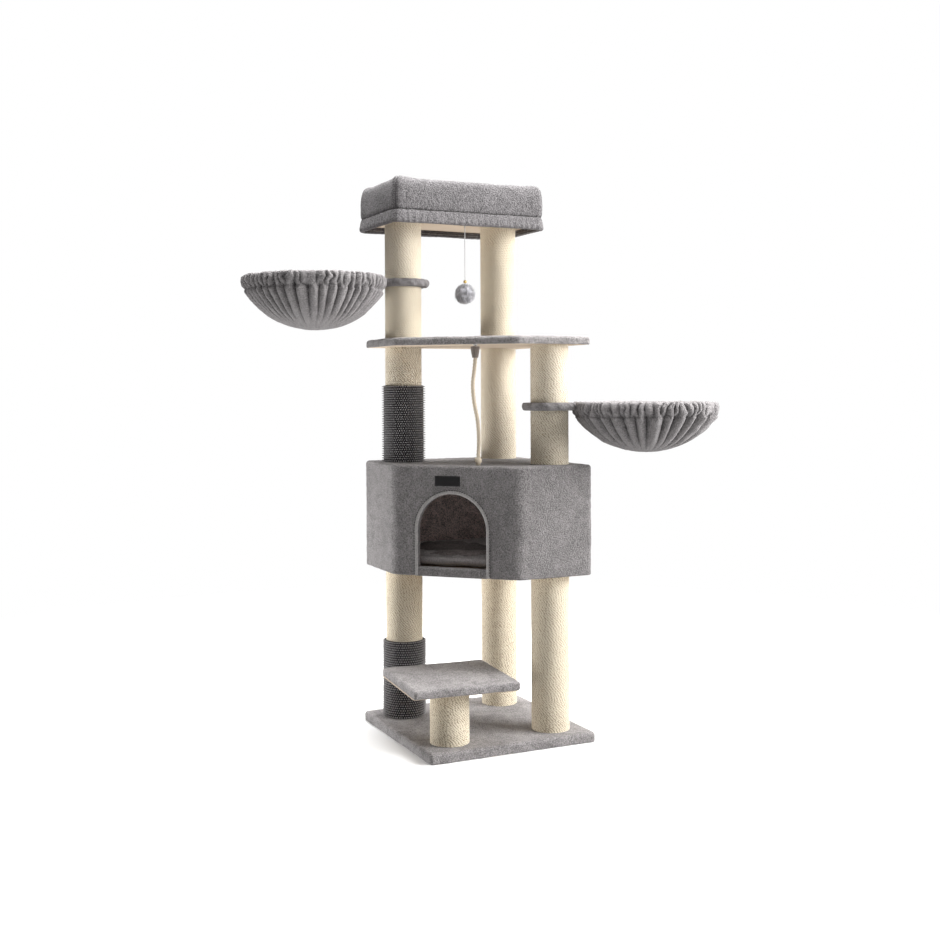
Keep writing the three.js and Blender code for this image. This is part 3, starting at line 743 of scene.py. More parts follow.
def cave_shell():
    """One plush cover over walls and roof, soft at its folds, with the arched doorway cut out."""
    edge = 10 * MM
    profile = [(4 * MM, CAVE_BOTTOM)] + edge_rise(4 * MM, CAVE_BOTTOM, True, 4)[1:]
    profile += rows_between(profile[-1][1], CAVE_TOP - edge, 4.5 * MM)
    profile += edge_rise(edge, CAVE_TOP, False, 7)
    grown = [(inset - 2.2 * MM, z) for inset, z in profile]
    rows = swept(cave_corners, grown, 4.5 * MM, arc=12)
    rows = capped(rows, DECK_MIDDLE, 7 * MM)
    points, faces = grid_of(rows)
    points = soften(
        points, faces, (0.11, 1.0 * MM, 5), (0.045, 0.6 * MM, 6), (0.014, 0.6 * MM, 7), (0.008, 0.4 * MM, 8)
    )
    points, faces = door_cut(points, faces)
    covers = ["cave_wall_cover", "cave_roof_cover", "cave_floor_cover"]
    piece("cave_plush", points, faces, PLUSH, stands_for=covers, slot="plush")


def cave_lining():
    """The plush inside: carpet, walls and ceiling, with the same doorway."""
    inner = 17.6 * MM
    profile = [(inner, CARPET)] + rows_between(CARPET, CAVE_CEILING, 6 * MM, inner) + [(inner, CAVE_CEILING)]
    rows = swept(cave_corners, profile, 6 * MM, arc=8)
    low = capped(rows[:1], DECK_MIDDLE, 12 * MM)[::-1]
    points, faces = grid_of(np.concatenate([low, rows[1:-1], capped(rows[-1:], DECK_MIDDLE, 12 * MM)]))
    faces = faces[:, ::-1]
    points = soften(points, faces, (0.03, 0.5 * MM, 8))
    points, faces = door_cut(points, faces)
    piece("cave_lining", points, faces, LINING, slot="dark_plush")


def door_jamb():
    line = arch_line(0.0, CAVE_BOTTOM)
    depths = [2.6 * MM, 1.4 * MM, 0, -4 * MM, -8 * MM, -12 * MM, -16 * MM, -17.8 * MM]
    insets = [0.8 * MM, 0.1 * MM, 0, 0, 0, 0, 0, 0.6 * MM]
    rows = []
    for depth, spread in zip(depths, insets):
        r = 1 + spread / DOOR_HALF
        across, z = line[:, 0] * r, line[:, 1] + np.where(line[:, 1] > DOOR_HEAD, spread, 0)
        rows.append(on_door(across, z, depth))
    points, faces = grid_of(rows, closed=False)
    piece("door_jamb", points, faces, PLUSH, slot="plush")


def door_hem():
    """A soft band sewn round the doorway, puckered by its stitches."""
    line = arch_line(4.6 * MM, CAVE_BOTTOM + 2 * MM, 2.4 * MM)
    along = distance_along(line)
    tangent = unit(np.gradient(line, axis=0))
    sideways = np.stack([-tangent[:, 1], tangent[:, 0]], -1)
    turns = circle(14)
    pucker = 0.5 + 0.5 * np.cos(along / 9e-3 * TAU)
    rows = []
    for turn in turns:
        wide = 4.9 * MM * math.copysign(abs(math.cos(turn)) ** 0.75, math.cos(turn))
        thick = 1.5 * MM * math.copysign(abs(math.sin(turn)) ** 0.8, math.sin(turn))
        spot = line + sideways * wide
        out = 2.6 * MM + thick * (1 + 0.3 * pucker)
        rows.append(on_door(spot[:, 0], spot[:, 1], out))
    points, faces = grid_of(np.array(rows).transpose(1, 0, 2))
    piece("door_hem_band", points, faces, HEM_PLUSH, stands_for=["door_hem"], slot="plush")
    outer = arch_line(10.6 * MM, CAVE_BOTTOM + 4 * MM, 2 * MM)
    path = on_door(outer[:, 0], outer[:, 1], 4.3 * MM)
    points, faces = stitches(path, 5.0 * MM, 3.0 * MM, 1.5 * MM)
    piece("door_stitching", points, faces, STITCH, slot="plush")


def door_sill():
    """The plush-covered strip across the bottom of the doorway."""
    half, top, bottom = DOOR_HALF - 0.2 * MM, CARPET, CAVE_BOTTOM
    section = []
    for t in np.linspace(0, math.pi / 2, 7):
        section.append((1.8 * MM - 5 * MM * (1 - math.cos(t)), top - 5 * MM * (1 - math.sin(t))))
    section = [(1.8 * MM, z) for z in np.linspace(bottom, top - 6 * MM, 5)] + section
    section += [(d * MM, top) for d in (-9, -13, -17, -20)]
    across = np.linspace(-half, half, 70)
    points, faces = grid_of([on_door(across, z, out) for out, z in section], closed=False)
    points = soften(points, faces, (0.02, 0.5 * MM, 9), (0.008, 0.3 * MM, 10))
    piece("door_sill", points, faces, PLUSH, slot="plush")


TAG_SHIFT, TAG_Z = -0.013, 0.7812


def tag():
    """A plain woven tag sewn on above the doorway."""
    wide, tall, thick = 0.04, 0.015, 1.5 * MM
    xs, zs = np.linspace(-wide, wide, 60), np.linspace(-tall, tall, 26)
    gx, gz = np.meshgrid(xs, zs)
    rim = np.minimum(wide - np.abs(gx), tall - np.abs(gz))
    out = 2.4 * MM + thick * np.clip(rim / (1.6 * MM), 0, 1) ** 0.5
    out -= 0.35 * MM * np.exp(-(((rim - 2.6 * MM) / (0.7 * MM)) ** 2))
    points = on_door(gx + TAG_SHIFT, gz + TAG_Z, out).reshape(-1, 3)
    piece(
        "plain_tag", points, quads(26, 60, closed=False), TAG, stands_for=["blank_tag"], slot="tag"
    )
    inset = 2.6 * MM
    loop = [(-wide + inset, -tall + inset), (wide - inset, -tall + inset), (wide - inset, tall - inset),
            (-wide + inset, tall - inset), (-wide + inset, -tall + inset)]
    line = np.concatenate([np.linspace(loop[i], loop[i + 1], 40, endpoint=False) for i in range(4)])
    path = on_door(line[:, 0] + TAG_SHIFT, line[:, 1] + TAG_Z, 3.75 * MM)
    points, faces = stitches(path, 1.8 * MM, 0.9 * MM, 0.35 * MM)
    piece("tag_stitching", points, faces, STITCH, slot="tag")


cave_shell()
cave_lining()
door_jamb()
door_hem()
door_sill()
tag()

# ---- padded pieces ------------------------------------------------------------------------------
def pillow(corners_at, bottom, top, centre, spacing, seam=0.45):
    """A closed cushion: plump in the middle, thin at a seam that runs round its side."""
    half = (top - bottom) / 2
    middle = bottom + 2 * half * seam
    turns = np.linspace(-math.pi / 2, math.pi / 2, 13)
    profile = []
    for t in turns:
        rise = math.sin(t)
        reach = half * 1.5 * (1 - math.cos(t) ** 0.7)
        z = middle + (top - middle) * rise if rise > 0 else middle + (middle - bottom) * rise
        profile.append((reach, z))
    rows = swept(corners_at, profile, spacing)
    low = capped(rows[:1], centre, spacing * 1.5)[::-1]
    high = capped(rows[-1:], centre, spacing * 1.5)
    rows = np.concatenate([low, rows[1:-1], high])
    return grid_of(rows)


def filled(made, pressure=3.0, limit=9 * MM, frames=18, voxel=6 * MM, floor=None, crumple=0.0):
    """Fills a closed cushion with a short cloth simulation, so that its cover takes real creases."""
    remesh = made.modifiers.new("remesh", "REMESH")
    remesh.mode = "VOXEL"
    remesh.voxel_size = voxel
    depsgraph = bpy.context.evaluated_depsgraph_get()
    mesh = bpy.data.meshes.new_from_object(made.evaluated_get(depsgraph))
    made.modifiers.clear()
    look = made.data.materials[0]
    made.data = mesh
    mesh.materials.clear()
    mesh.materials.append(look)
    mesh.polygons.foreach_set("use_smooth", [True] * len(mesh.polygons))
    count = len(mesh.vertices)
    before = np.empty(count * 3)
    mesh.vertices.foreach_get("co", before)
    before = before.reshape(-1, 3)
    cloth = made.modifiers.new("cloth", "CLOTH")
    cloth.settings.use_pressure = True
    cloth.settings.uniform_pressure_force = pressure
    cloth.settings.effector_weights.gravity = 0
    cloth.settings.quality = 5
    cloth.settings.tension_stiffness = 12
    cloth.settings.compression_stiffness = 6
    cloth.settings.bending_stiffness = 0.4
    cloth.settings.shrink_min = -0.04
    cloth.point_cache.frame_start = 1
    cloth.point_cache.frame_end = frames
    scene = bpy.context.scene
    for number in range(1, frames + 1):
        scene.frame_set(number)
    depsgraph = bpy.context.evaluated_depsgraph_get()
    result = bpy.data.meshes.new_from_object(made.evaluated_get(depsgraph))
    made.modifiers.clear()
    after = np.empty(count * 3)
    result.vertices.foreach_get("co", after)
    bpy.data.meshes.remove(result)
    move = after.reshape(-1, 3) - before
    length = np.linalg.norm(move, axis=1, keepdims=True)
    move *= np.minimum(1, limit / np.maximum(length, 1e-9))
    after = before + move
    if floor is not None:
        after[:, 2] = np.maximum(after[:, 2], floor)
    mesh.vertices.foreach_set("co", after.ravel())
    mesh.update()
    scene.frame_set(1)
    points = np.empty(len(mesh.vertices) * 3)
    mesh.vertices.foreach_get("co", points)
    points = points.reshape(-1, 3)
    faces = np.array([tuple(face.vertices) for face in mesh.polygons])
    along, out = points[:, :2] @ DOOR_ALONG, points[:, :2] @ DOOR_OUT
    stretched = np.column_stack([along * 0.3, out, points[:, 2]])
    crease = 1 - np.abs(lumps(stretched, 0.017, 33)) ** 0.5
    points += normals_of(points, faces) * (crumple * (0.5 - crease))[:, None]
    mesh.vertices.foreach_set("co", points.ravel())
    mesh.update()
    smooth = made.modifiers.new("smooth", "SUBSURF")
    smooth.levels = smooth.render_levels = 1


inner = deck_corners(90 * MM, 60 * MM)
points, faces = pillow(lambda inset: inner(inset + 25 * MM), 0.5245, 0.557, DECK_MIDDLE, 8 * MM)
cushion = piece("cave_cushion_soft", points, faces, CUSHION, stands_for=["cave_cushion"], slot="dark_plush")
filled(cushion, pressure=3.0, limit=8 * MM, voxel=5 * MM, floor=0.524, crumple=4 * MM)


def cushion_fold(name, section, look, crown, tilt, depth):
    """A loose part of the cushion's cover, pushed up into a rounded, wrinkled fold behind the doorway."""
    base = 0.545
    across = np.linspace(-0.15, 0.15, 110)
    rows = []
    for out, z in section:
        rise = (z * MM - base) * (1 - crown * (across / 0.15) ** 4 + tilt * across / 0.15)
        bow = 10 * MM * (across / 0.15) ** 2
        rows.append(on_door(across - 0.01, base + rise, np.full(110, out * MM) - bow))
    fine = halved(halved(halved(rows)))
    points, faces = grid_of(fine, closed=False)
    flat = np.column_stack([points[:, :2] @ DOOR_ALONG * 0.35, points[:, :2] @ DOOR_OUT, points[:, 2]])
    crease = np.abs(lumps(flat, 0.02, 30)) ** 0.6
    move = depth * (crease - 0.5) + 1.5 * MM * lumps(points, 0.02, 31)
    points = points + normals_of(points, faces) * move[:, None]
    piece(name, points, faces, look, slot="dark_plush")


# the raised fold of the cushion's cover is coloured far darker than the cushion: painted shade
cushion_fold(
    "cave_cushion_fold",
    [(-62, 540), (-60, 553), (-66, 566), (-78, 577), (-94, 583), (-112, 586), (-132, 584), (-150, 576),
     (-163, 562), (-168, 545)],
    CUSHION_SHADED_FOLD, 0.55, -0.14, 8 * MM,
)
# the pleat is coloured darker than the cushion: painted shade
cushion_fold(
    "cave_cushion_pleat",
    [(-44, 548), (-43, 555), (-47, 562), (-54, 567), (-62, 569), (-72, 568), (-82, 563), (-90, 554),
     (-93, 546)],
    CUSHION_SHADED_PLEAT, 0.35, 0.3, 6 * MM,
)

# ---- perch --------------------------------------------------------------------------------------
PERCH_WIDTH, PERCH_DEPTH, PERCH_Y = 0.513, 0.304, 0.172
PERCH_UNDER, PERCH_SEAM = 1.578, 1.6
perch_corners = rectangle_corners(PERCH_WIDTH, PERCH_DEPTH, 24 * MM, (0.0, PERCH_Y))
SQUARE_CORNERS = [
    (sx * PERCH_WIDTH / 2, PERCH_Y + sy * PERCH_DEPTH / 2) for sx, sy in ((-1, -1), (1, -1), (1, 1), (-1, 1))
]


def corner_nearness(points, width):
    """1 on the upright seams at the perch's corners, falling to 0 over width."""
    near = np.zeros(len(points))
    for x, y in SQUARE_CORNERS:
        sx, sy = math.copysign(1, x), math.copysign(1, y - PERCH_Y)
        away = np.abs((points[:, 0] - x) * sx - (points[:, 1] - y) * sy) / math.sqrt(2)
        close = np.hypot(points[:, 0] - x, points[:, 1] - y) < 0.09
        near = np.maximum(near, np.where(close, np.exp(-((away / width) ** 2)), 0))
    return near


def perch_bolster():
    """Four padded sides sewn together at upright corner seams and drawn in along the bottom seam."""
    low = PERCH_SEAM + 0.5 * MM
    outer = [(6.5, 1597), (5.5, 1600.2), (2.2, 1602), (0.4, 1606), (-0.8, 1613), (-1.6, 1625), (-1.8, 1640),
             (-1.2, 1655), (0.2, 1668), (2.6, 1680), (6.6, 1689), (12.5, 1695.4), (20, 1698.6), (29, 1699.3),
             (38, 1697.4), (46, 1692.2), (52, 1684), (56, 1673), (58, 1658), (58.3, 1640), (57.6, 1622),
             (56, 1606), (55, 1597)]
    rows = swept(perch_corners, halved(outer) * MM, 4 * MM, arc=14)
    points, faces = grid_of(rows)
    outward = normals_of(points, faces)
    seam = corner_nearness(points, 3.5 * MM)
    broad = corner_nearness(points, 26 * MM)
    upper = np.clip((points[:, 2] - 1.66) / 0.035, 0, 1)
    move = 1.1 * MM * lumps(points, 0.06, 11) + 0.6 * MM * lumps(points, 0.024, 12)
    move = move + 0.3 * MM * lumps(points, 0.01, 13) - 2.6 * MM * seam + 1.2 * MM * broad
    drawn = np.exp(-(((points[:, 2] - low) / (9 * MM)) ** 2))
    gather = np.sin((points[:, 0] + points[:, 1] * 1.3) / 0.017 * TAU + 2.5 * lumps(points, 0.05, 14))
    move = move + drawn * 0.9 * MM * gather
    points = points + outward * move[:, None]
    points[:, 2] += upper * (3.2 * MM * broad - 1.2 * MM + 1.0 * MM * lumps(points, 0.09, 15))
    made = piece("perch_bolster_soft", points, faces, PERCH_PLUSH, stands_for=["perch_bolster"], slot="plush")
    lines = []
    for x, y in SQUARE_CORNERS:
        inward = np.array([-math.copysign(1, x), -math.copysign(1, y - PERCH_Y)]) / math.sqrt(2)
        base = np.array([x, y]) + inward * (24 * (math.sqrt(2) - 1) * MM)
        path = [np.append(base + inward * max(i, -1) * MM, z * MM) for i, z in outer[1:15]]
        path = np.array(path) + np.append(inward, 0) * 0.9 * MM
        lines.append(tube_along(path, 0.6 * MM, 6))
    piece("perch_corner_seams", *merged(lines), DARK_STITCH, slot="plush")


def perch_seam():
    """The dark gathered seam where the sides are sewn to the skirt."""
    counts = side_counts(perch_corners(0.0), 3 * MM)
    loop = rounded_loop(perch_corners(1.4 * MM), counts, 10)
    height = 1.5995 + 1.3 * MM * lumps(level_points(loop), 0.02, 16)
    path = np.column_stack([loop, height])
    thick = 1.3 * MM + 0.9 * MM * lumps(path, 0.012, 17)
    points, faces = tube_along(path, thick, 8, closed=True)
    piece("perch_seam", points, faces, DARK_STITCH, slot="plush")


def perch_skirt():
    """The strip that hides the board's edge: gathered under the seam and flaring at its hem."""
    outer = [(4.5, 1600), (1.4, 1599.4), (-0.8, 1596), (-2.4, 1591), (-3.6, 1585), (-4.8, 1578), (-5.8, 1572),
             (-6.2, 1567), (-5.4, 1562.5), (-3, 1559.4), (0.5, 1558.2), (4.5, 1559.2), (7.4, 1562),
             (8.4, 1566.5), (7.2, 1571), (5.8, 1575), (5.6, 1579)]
    profile = halved(outer)[:-1] * MM
    rows = swept(perch_corners, profile, 3 * MM, arc=12)
    count = rows.shape[1]
    ring = rows[0][:, :2]
    step = np.linalg.norm(np.roll(ring, -1, 0) - ring, axis=1)
    along = np.concatenate([[0], np.cumsum(step)[:-1]])
    total = along[-1] + step[-1]
    wobble = lumps(level_points(ring), 0.06, 18)
    folds = round(total / 0.021)
    phase = TAU * folds * along / total + 2.2 * wobble
    points = rows.reshape(-1, 3)
    faces = quads(len(rows), count)
    outward = normals_of(points, faces)
    outward[:, 2] *= 0.3
    wave = np.tile(np.sin(phase), len(rows)) * (0.6 + 0.5 * lumps(points, 0.04, 19))
    depth = np.clip((1.6 - points[:, 2]) / 0.03, 0, 1)
    move = wave * 1.3 * MM * (0.35 + 0.65 * depth) + 0.4 * MM * lumps(points, 0.01, 20)
    flip = np.where(np.repeat(profile[:, 0] > 1 * MM, count) & (points[:, 2] < 1.59), -1, 1)
    points = points + outward * (move * flip)[:, None]
    points[:, 2] += 0.9 * MM * lumps(points * [1, 1, 0.2], 0.05, 21) * depth
    piece("perch_skirt_soft", points, faces, PERCH_PLUSH, stands_for=["perch_skirt"], slot="plush")
    lines = []
    for inset, z in ((9.0, 1563.4), (7.6, 1571.4)):
        loop = rounded_loop(perch_corners(inset * MM), side_counts(perch_corners(0.0), 3 * MM), 8)
        wave = 0.7 * MM * lumps(level_points(loop), 0.018, 22)
        lines.append(tube_along(np.column_stack([loop, z * MM + wave]), 1 * MM, 6, closed=True))
    piece("perch_gathers", *merged(lines), DARK_STITCH, slot="plush")


perch_bolster()
perch_seam()
perch_skirt()
BOLSTER = 57.6 * MM
pad_corners = rectangle_corners(PERCH_WIDTH - 2 * BOLSTER, PERCH_DEPTH - 2 * BOLSTER, 24 * MM, (0.0, PERCH_Y))
points, faces = pillow(lambda inset: pad_corners(inset + 3 * MM), 1.5968, 1.618, (0.0, PERCH_Y), 6 * MM)
pad = piece("perch_pad_soft", points, faces, PERCH_PLUSH, stands_for=["perch_pad"], slot="plush")
filled(pad, pressure=3.0, limit=6 * MM, voxel=5 * MM, floor=1.5964, crumple=2 * MM)

# ---- hammocks -----------------------------------------------------------------------------------
RING_REACH = 0.291
# (radius, height) in mm from the free edge inside the hem, over the ring and down to the gathering line
HEM_LINE = [
    (196.5, -27), (195.2, -20), (194.4, -12), (194.4, -4), (196, 4), (199.6, 10), (205, 13), (210.4, 11.4),
    (214.6, 6.4), (217, -1), (217.4, -8), (215.8, -15), (212, -21), (206.5, -26), (203.5, -29.5),
    (204.4, -33),
]
FULL_BAG = [
    (204.5, -38), (200, -46), (194, -54), (187, -63), (179, -72), (170, -82), (160, -92), (149.5, -101.5),
    (138, -110.5), (125, -119), (110.5, -127), (94, -134), (77, -140), (59, -144.8), (40, -148), (20, -150.2),
    (6, -150.9), (0.6, -151),
]
SHALLOW_BAG = [
    (200.5, -38), (194, -46), (186, -55), (177.5, -64), (168.5, -73), (158.5, -82), (148, -91), (136.5, -100),
    (123, -108.4), (108, -115.8), (92.5, -122), (77, -127.2), (61, -131.4), (45, -134.6), (30, -136.8),
    (15, -138), (5, -138.4), (0.6, -138.5),
]


def hammock(side, post, height, turn, seed, bag_line, pleats, groove):
    """A gathered plush bag on a steel ring that swings on its post."""
    body = "hammock_" + side
    c, s = math.cos(turn), math.sin(turn)

    def placed(local):
        local = np.asarray(local, float)
        x, y = local[..., 0] * c - local[..., 1] * s, local[..., 0] * s + local[..., 1] * c
        return np.stack([x + post[0], y + post[1], local[..., 2] + height], -1)

    columns = 840
    outline = HEM_LINE + bag_line
    # how strongly the hem's ruffles and the bag's pleats show along the outline
    spots = np.arange(len(outline))
    ruffle = np.interp(
        spots, [0, 2, 4, 6, 8, 10, 12, 13.5, 15, 17], [0.5, 0.35, 0.4, 0.45, 0.9, 1.0, 0.9, 0.5, 0.3, 0]
    )
    pleat = np.interp(
        spots, [11, 13, 15, 17, 20, 22, 24, 26, 29, 33], [0, 0.7, 1.0, 1.0, 0.9, 0.7, 0.45, 0.2, 0.04, 0]
    )
    turns = circle(columns)
    ring = np.column_stack([np.cos(turns), np.sin(turns), np.full(columns, 0.37 * seed)])
    drawn = 1.3 * lumps(ring, 0.3, seed) + 0.6 * lumps(ring, 0.12, seed + 1)
    lobe = np.abs(np.sin(pleats / 2 * turns + drawn)) ** 0.62
    size = 1 + 0.4 * lumps(ring, 0.22, seed + 2)
    frill_turn = 31 * turns + 1.9 * drawn + 1.0 * lumps(ring, 0.09, seed + 3)
    frill_size = 1 + 0.65 * lumps(ring, 0.1, seed + 4)
    rows, crease_shade_rows = [], []
    for (r, z), k, m in zip(halved(outline) * MM, halved(ruffle), halved(pleat)):
        drift = np.column_stack([ring[:, :2], np.full(columns, z * 9 + seed)])
        inner = min(1.0, r / 0.06)
        wander = lumps(np.column_stack([ring[:, :2], np.full(columns, z * 12 + 3.0 * seed)]), 0.16, seed + 11)
        frill = np.abs(np.sin(frill_turn + 1.5 * wander)) ** 0.55
        # painted shade: how much the colour is darkened in the valleys between pleats and between ruffles
        crease_shade_rows.append(np.clip(1.15 * m * (1 - lobe) ** 1.15 + 1.2 * k * (1 - frill) ** 0.95, 0, 1))
        out = m * groove * (lobe * size - 0.72) * (1 + 0.35 * lumps(drift, 0.12, seed + 5))
        out = out + k * 11 * MM * (frill * frill_size - 0.72)
        out = out + 0.9 * MM * lumps(drift, 0.05, seed + 6) * inner
        rise = z + k * (5.0 if z > 0 else 2.0) * MM * (frill * frill_size - 0.6)
        rise = rise + 1.6 * MM * lumps(ring, 0.25, seed + 7) * (k > 0)
        if z < -0.06:
            rise = rise + 1.4 * MM * lumps(drift, 0.4, seed + 8) * inner
        radius = r + out
        rows.append(np.column_stack([RING_REACH + radius * np.cos(turns), radius * np.sin(turns), rise]))
    local, faces = grid_of(rows)
    faces = faces[:, ::-1]
    local = soften(local, faces, (0.012, 0.45 * MM, seed + 9), (0.007, 0.35 * MM, seed + 10))
    # the UV's first axis carries the painted crease shade to the material
    bag = piece(
        f"hammock_{side}_fabric", placed(local), faces, HAMMOCK_PLUSH, body,
        stands_for=[f"hammock_{side}_bag"], slot="plush",
        uv=np.column_stack([np.concatenate(crease_shade_rows), np.repeat(np.arange(len(rows)), columns) * 0.01]),
    )
    solid = bag.modifiers.new("thickness", "SOLIDIFY")
    solid.thickness = 1.6 * MM
    solid.offset = -1

    # plush-covered disc clamped in the post, with wrapped folds that fan out from the ring
    across = 240
    edge = []
    half, reach = 11.7 * MM, 82 * MM
    for t in np.linspace(-math.pi / 2, math.pi / 2, 15):
        edge.append((reach - 9 * MM * (1 - math.cos(t)), half * math.sin(t)))
    flats = [r * MM for r in (8, 24, 40, 56, 66)]
    profile = [(r, -half) for r in flats] + edge + [(r, half) for r in reversed(flats)]
    disc, disc_faces = lathe(profile, across)
    normal = normals_of(disc, disc_faces)
    reach_now = np.hypot(disc[:, 0], disc[:, 1])
    bearing = np.arctan2(disc[:, 1], disc[:, 0])
    fold = np.sin(bearing * 14 + disc[:, 2] / 0.005 + 1.8 * lumps(disc, 0.04, seed + 7))
    fold = np.sign(fold) * np.abs(fold) ** 0.6
    free = np.clip((reach_now - 60 * MM) / (12 * MM), 0, 1)
    ripple = 0.9 * MM * lumps(disc, 0.02, seed + 8) + 0.3 * MM * lumps(disc, 0.01, seed + 9)
    move = free * (1.3 * MM * fold + ripple)
    disc = disc + normal * move[:, None]
    disc[:, 2] = np.clip(disc[:, 2], -half, half)
    piece(
        f"hammock_{side}_disc", placed(disc), disc_faces, PLUSH_FINE, body,
        stands_for=[f"hammock_{side}_eye_cover"], slot="plush",
    )


hammock("left", POSTS["left"], 1.386, math.pi, 40, FULL_BAG, 44, 17 * MM)
hammock("right", POSTS["right"], 1.0, math.radians(-24), 60, SHALLOW_BAG, 30, 27 * MM)


# ---- hanging toys -------------------------------------------------------------------------------
def ring_link(name, node, centre, normal, body, radius=4.8 * MM, wire=1.2 * MM):
    """A round steel loop."""
    turns = circle(32)
    if normal == "y":
        path = np.column_stack([radius * np.cos(turns), np.zeros(32), radius * np.sin(turns)])
    else:
        path = np.column_stack([np.zeros(32), radius * np.cos(turns), radius * np.sin(turns)])
    points, faces = tube_along(path + np.array(centre), wire, 10, closed=True)
    piece(name, points, faces, STEEL, body, stands_for=[node], slot="steel")


def hanger(name, x, y, ceiling, link_body):
    """A screw eye under a board, and the ring linked through it."""
    ring_link(f"{name}_eye_loop", f"{name}_eye", (x, y, ceiling - 6.6 * MM), "y", "tree")
    profile = [(0.2, -3.2), (1.7, -3.2), (1.9, -1.7), (7.4, -1.5), (8, -1.1), (8, -0.1)]
    points, faces = lathe(np.array(profile) * MM, 28, (x, y, ceiling))
    piece(f"{name}_eye_plate", points, faces, STEEL, slot="steel")
    ring_link(f"{name}_ring_loop", f"{name}_ring", (x, y, ceiling - 13.5 * MM), "x", link_body)


POMPOM_X, POMPOM_Y = -0.006, 0.055
ROPE_X, ROPE_Y, PLATFORM_UNDER = -0.067, -0.144, 1.185
hanger("rope", ROPE_X, ROPE_Y, PLATFORM_UNDER, "rope_link")
hanger("pompom", POMPOM_X, POMPOM_Y, PERCH_UNDER, "pompom_link")


def smooth_path(points, count):
    """A smooth Catmull-Rom line through points, evenly resampled, and its length."""
    p = np.asarray(points, float)
    p = np.concatenate([[2 * p[0] - p[1]], p, [2 * p[-1] - p[-2]]])
    out = []
    for i in range(1, len(p) - 2):
        for t in np.linspace(0, 1, 24, endpoint=False):
            a, b, c, d = p[i - 1], p[i], p[i + 1], p[i + 2]
            bend, twist = 2 * a - 5 * b + 4 * c - d, 3 * b - a - 3 * c + d
            out.append(0.5 * (2 * b + (c - a) * t + bend * t**2 + twist * t**3))
    out.append(p[-2])
    out = np.array(out)
    along = distance_along(out)
    spots = np.linspace(0, along[-1], count)
    return np.stack([np.interp(spots, along, out[:, k]) for k in range(3)], -1), along[-1]


def laid_rope(path, radius, strands, lay, around=10, reach=0.48, thick=0.54):
    """Twisted strands about a centre line."""
    along = distance_along(path)
    ahead = unit(np.gradient(path, axis=0))
    side = unit(np.cross(ahead, [0, 1.0, 0]))
    other = np.cross(ahead, side)
    parts = []
    for k in range(strands):
        turn = TAU * (along / lay + k / strands)
        line = path + radius * reach * (np.cos(turn)[:, None] * side + np.sin(turn)[:, None] * other)
        parts.append(tube_along(line, radius * thick, around))
    return merged(parts)


ROPE_RADIUS = 6.2 * MM
KNOT_X = -0.058
rope_spots = [
    (0, 1165.2), (0, 1143.2), (-3, 1110.2), (-8, 1065.2), (-4, 1015.2), (7, 960.2), (11, 905.2), (9, 848)
]
rope_line, rope_length = smooth_path([(ROPE_X + x * MM, ROPE_Y, z * MM) for x, z in rope_spots], 260)
points, faces = laid_rope(rope_line, ROPE_RADIUS, 3, 31 * MM, 10, 0.54, 0.47)
rope = piece("rope_strands", points, faces, ROPE, "rope_toy", stands_for=["rope"], slot="rope_fibre")

# the knot: two tight wraps of the same rope, and the frayed ends below it
wrap_turns = np.linspace(0, 2.1 * TAU, 90)
knot_path = np.column_stack([
    KNOT_X + 6.0 * MM * np.cos(wrap_turns), ROPE_Y + 6.0 * MM * np.sin(wrap_turns),
    0.8485 - 10 * MM * wrap_turns / wrap_turns[-1] + 1.5 * MM * np.sin(wrap_turns + 0.6),
])
knot_parts = [laid_rope(knot_path, 4.6 * MM, 3, 16 * MM, 7)]
knot_core = np.array([(0.5, -11), (6, -9), (7.5, -2), (7, 4), (5, 7)]) * MM
knot_parts.append(lathe(knot_core, 16, (KNOT_X, ROPE_Y, 0.846)))
points, faces = merged(knot_parts)
knot = piece("rope_end_knot", points, faces, ROPE, "rope_toy", stands_for=["rope_knot"], slot="rope_fibre")
random = np.random.default_rng(RANDOM_SEED)
fray = []
for _ in range(70):
    spread, turn = 5.0 * MM * math.sqrt(random.uniform()), random.uniform(0, TAU)
    start = np.array([KNOT_X + spread * math.cos(turn), ROPE_Y + spread * math.sin(turn), 0.838])
    lean = np.array([math.cos(turn), math.sin(turn), 0]) * random.uniform(0.1, 0.5)
    length = random.uniform(7, 12) * MM
    line = [start + (lean * t * t - np.array([0, 0, 1.0]) * t) * length for t in np.linspace(0, 1, 4)]
    fray.append(tube_along(line, np.array([0.7, 0.6, 0.5, 0.25]) * MM, 4))
points, faces = merged(fray)
tuft = piece("rope_end_tuft", points, faces, ROPE, "rope_toy", slot="rope_fibre")

cap_profile = [(7.0, -38.6), (8.4, -39), (9.3, -37.4), (9.9, -33), (10.8, -28), (11.9, -22), (12.8, -15),
               (13.6, -9), (13.8, -6.8), (12.6, -6), (11.4, -7)]
points, faces = lathe(np.array(cap_profile) * MM, 48, (ROPE_X, ROPE_Y, PLATFORM_UNDER))
points = soften(points, faces, (0.009, 0.5 * MM, 80), (0.004, 0.3 * MM, 81))
piece("rope_cap_plush", points, faces, ROPE_CAP, "rope_toy", stands_for=["rope_cap"], slot="rope_cap")

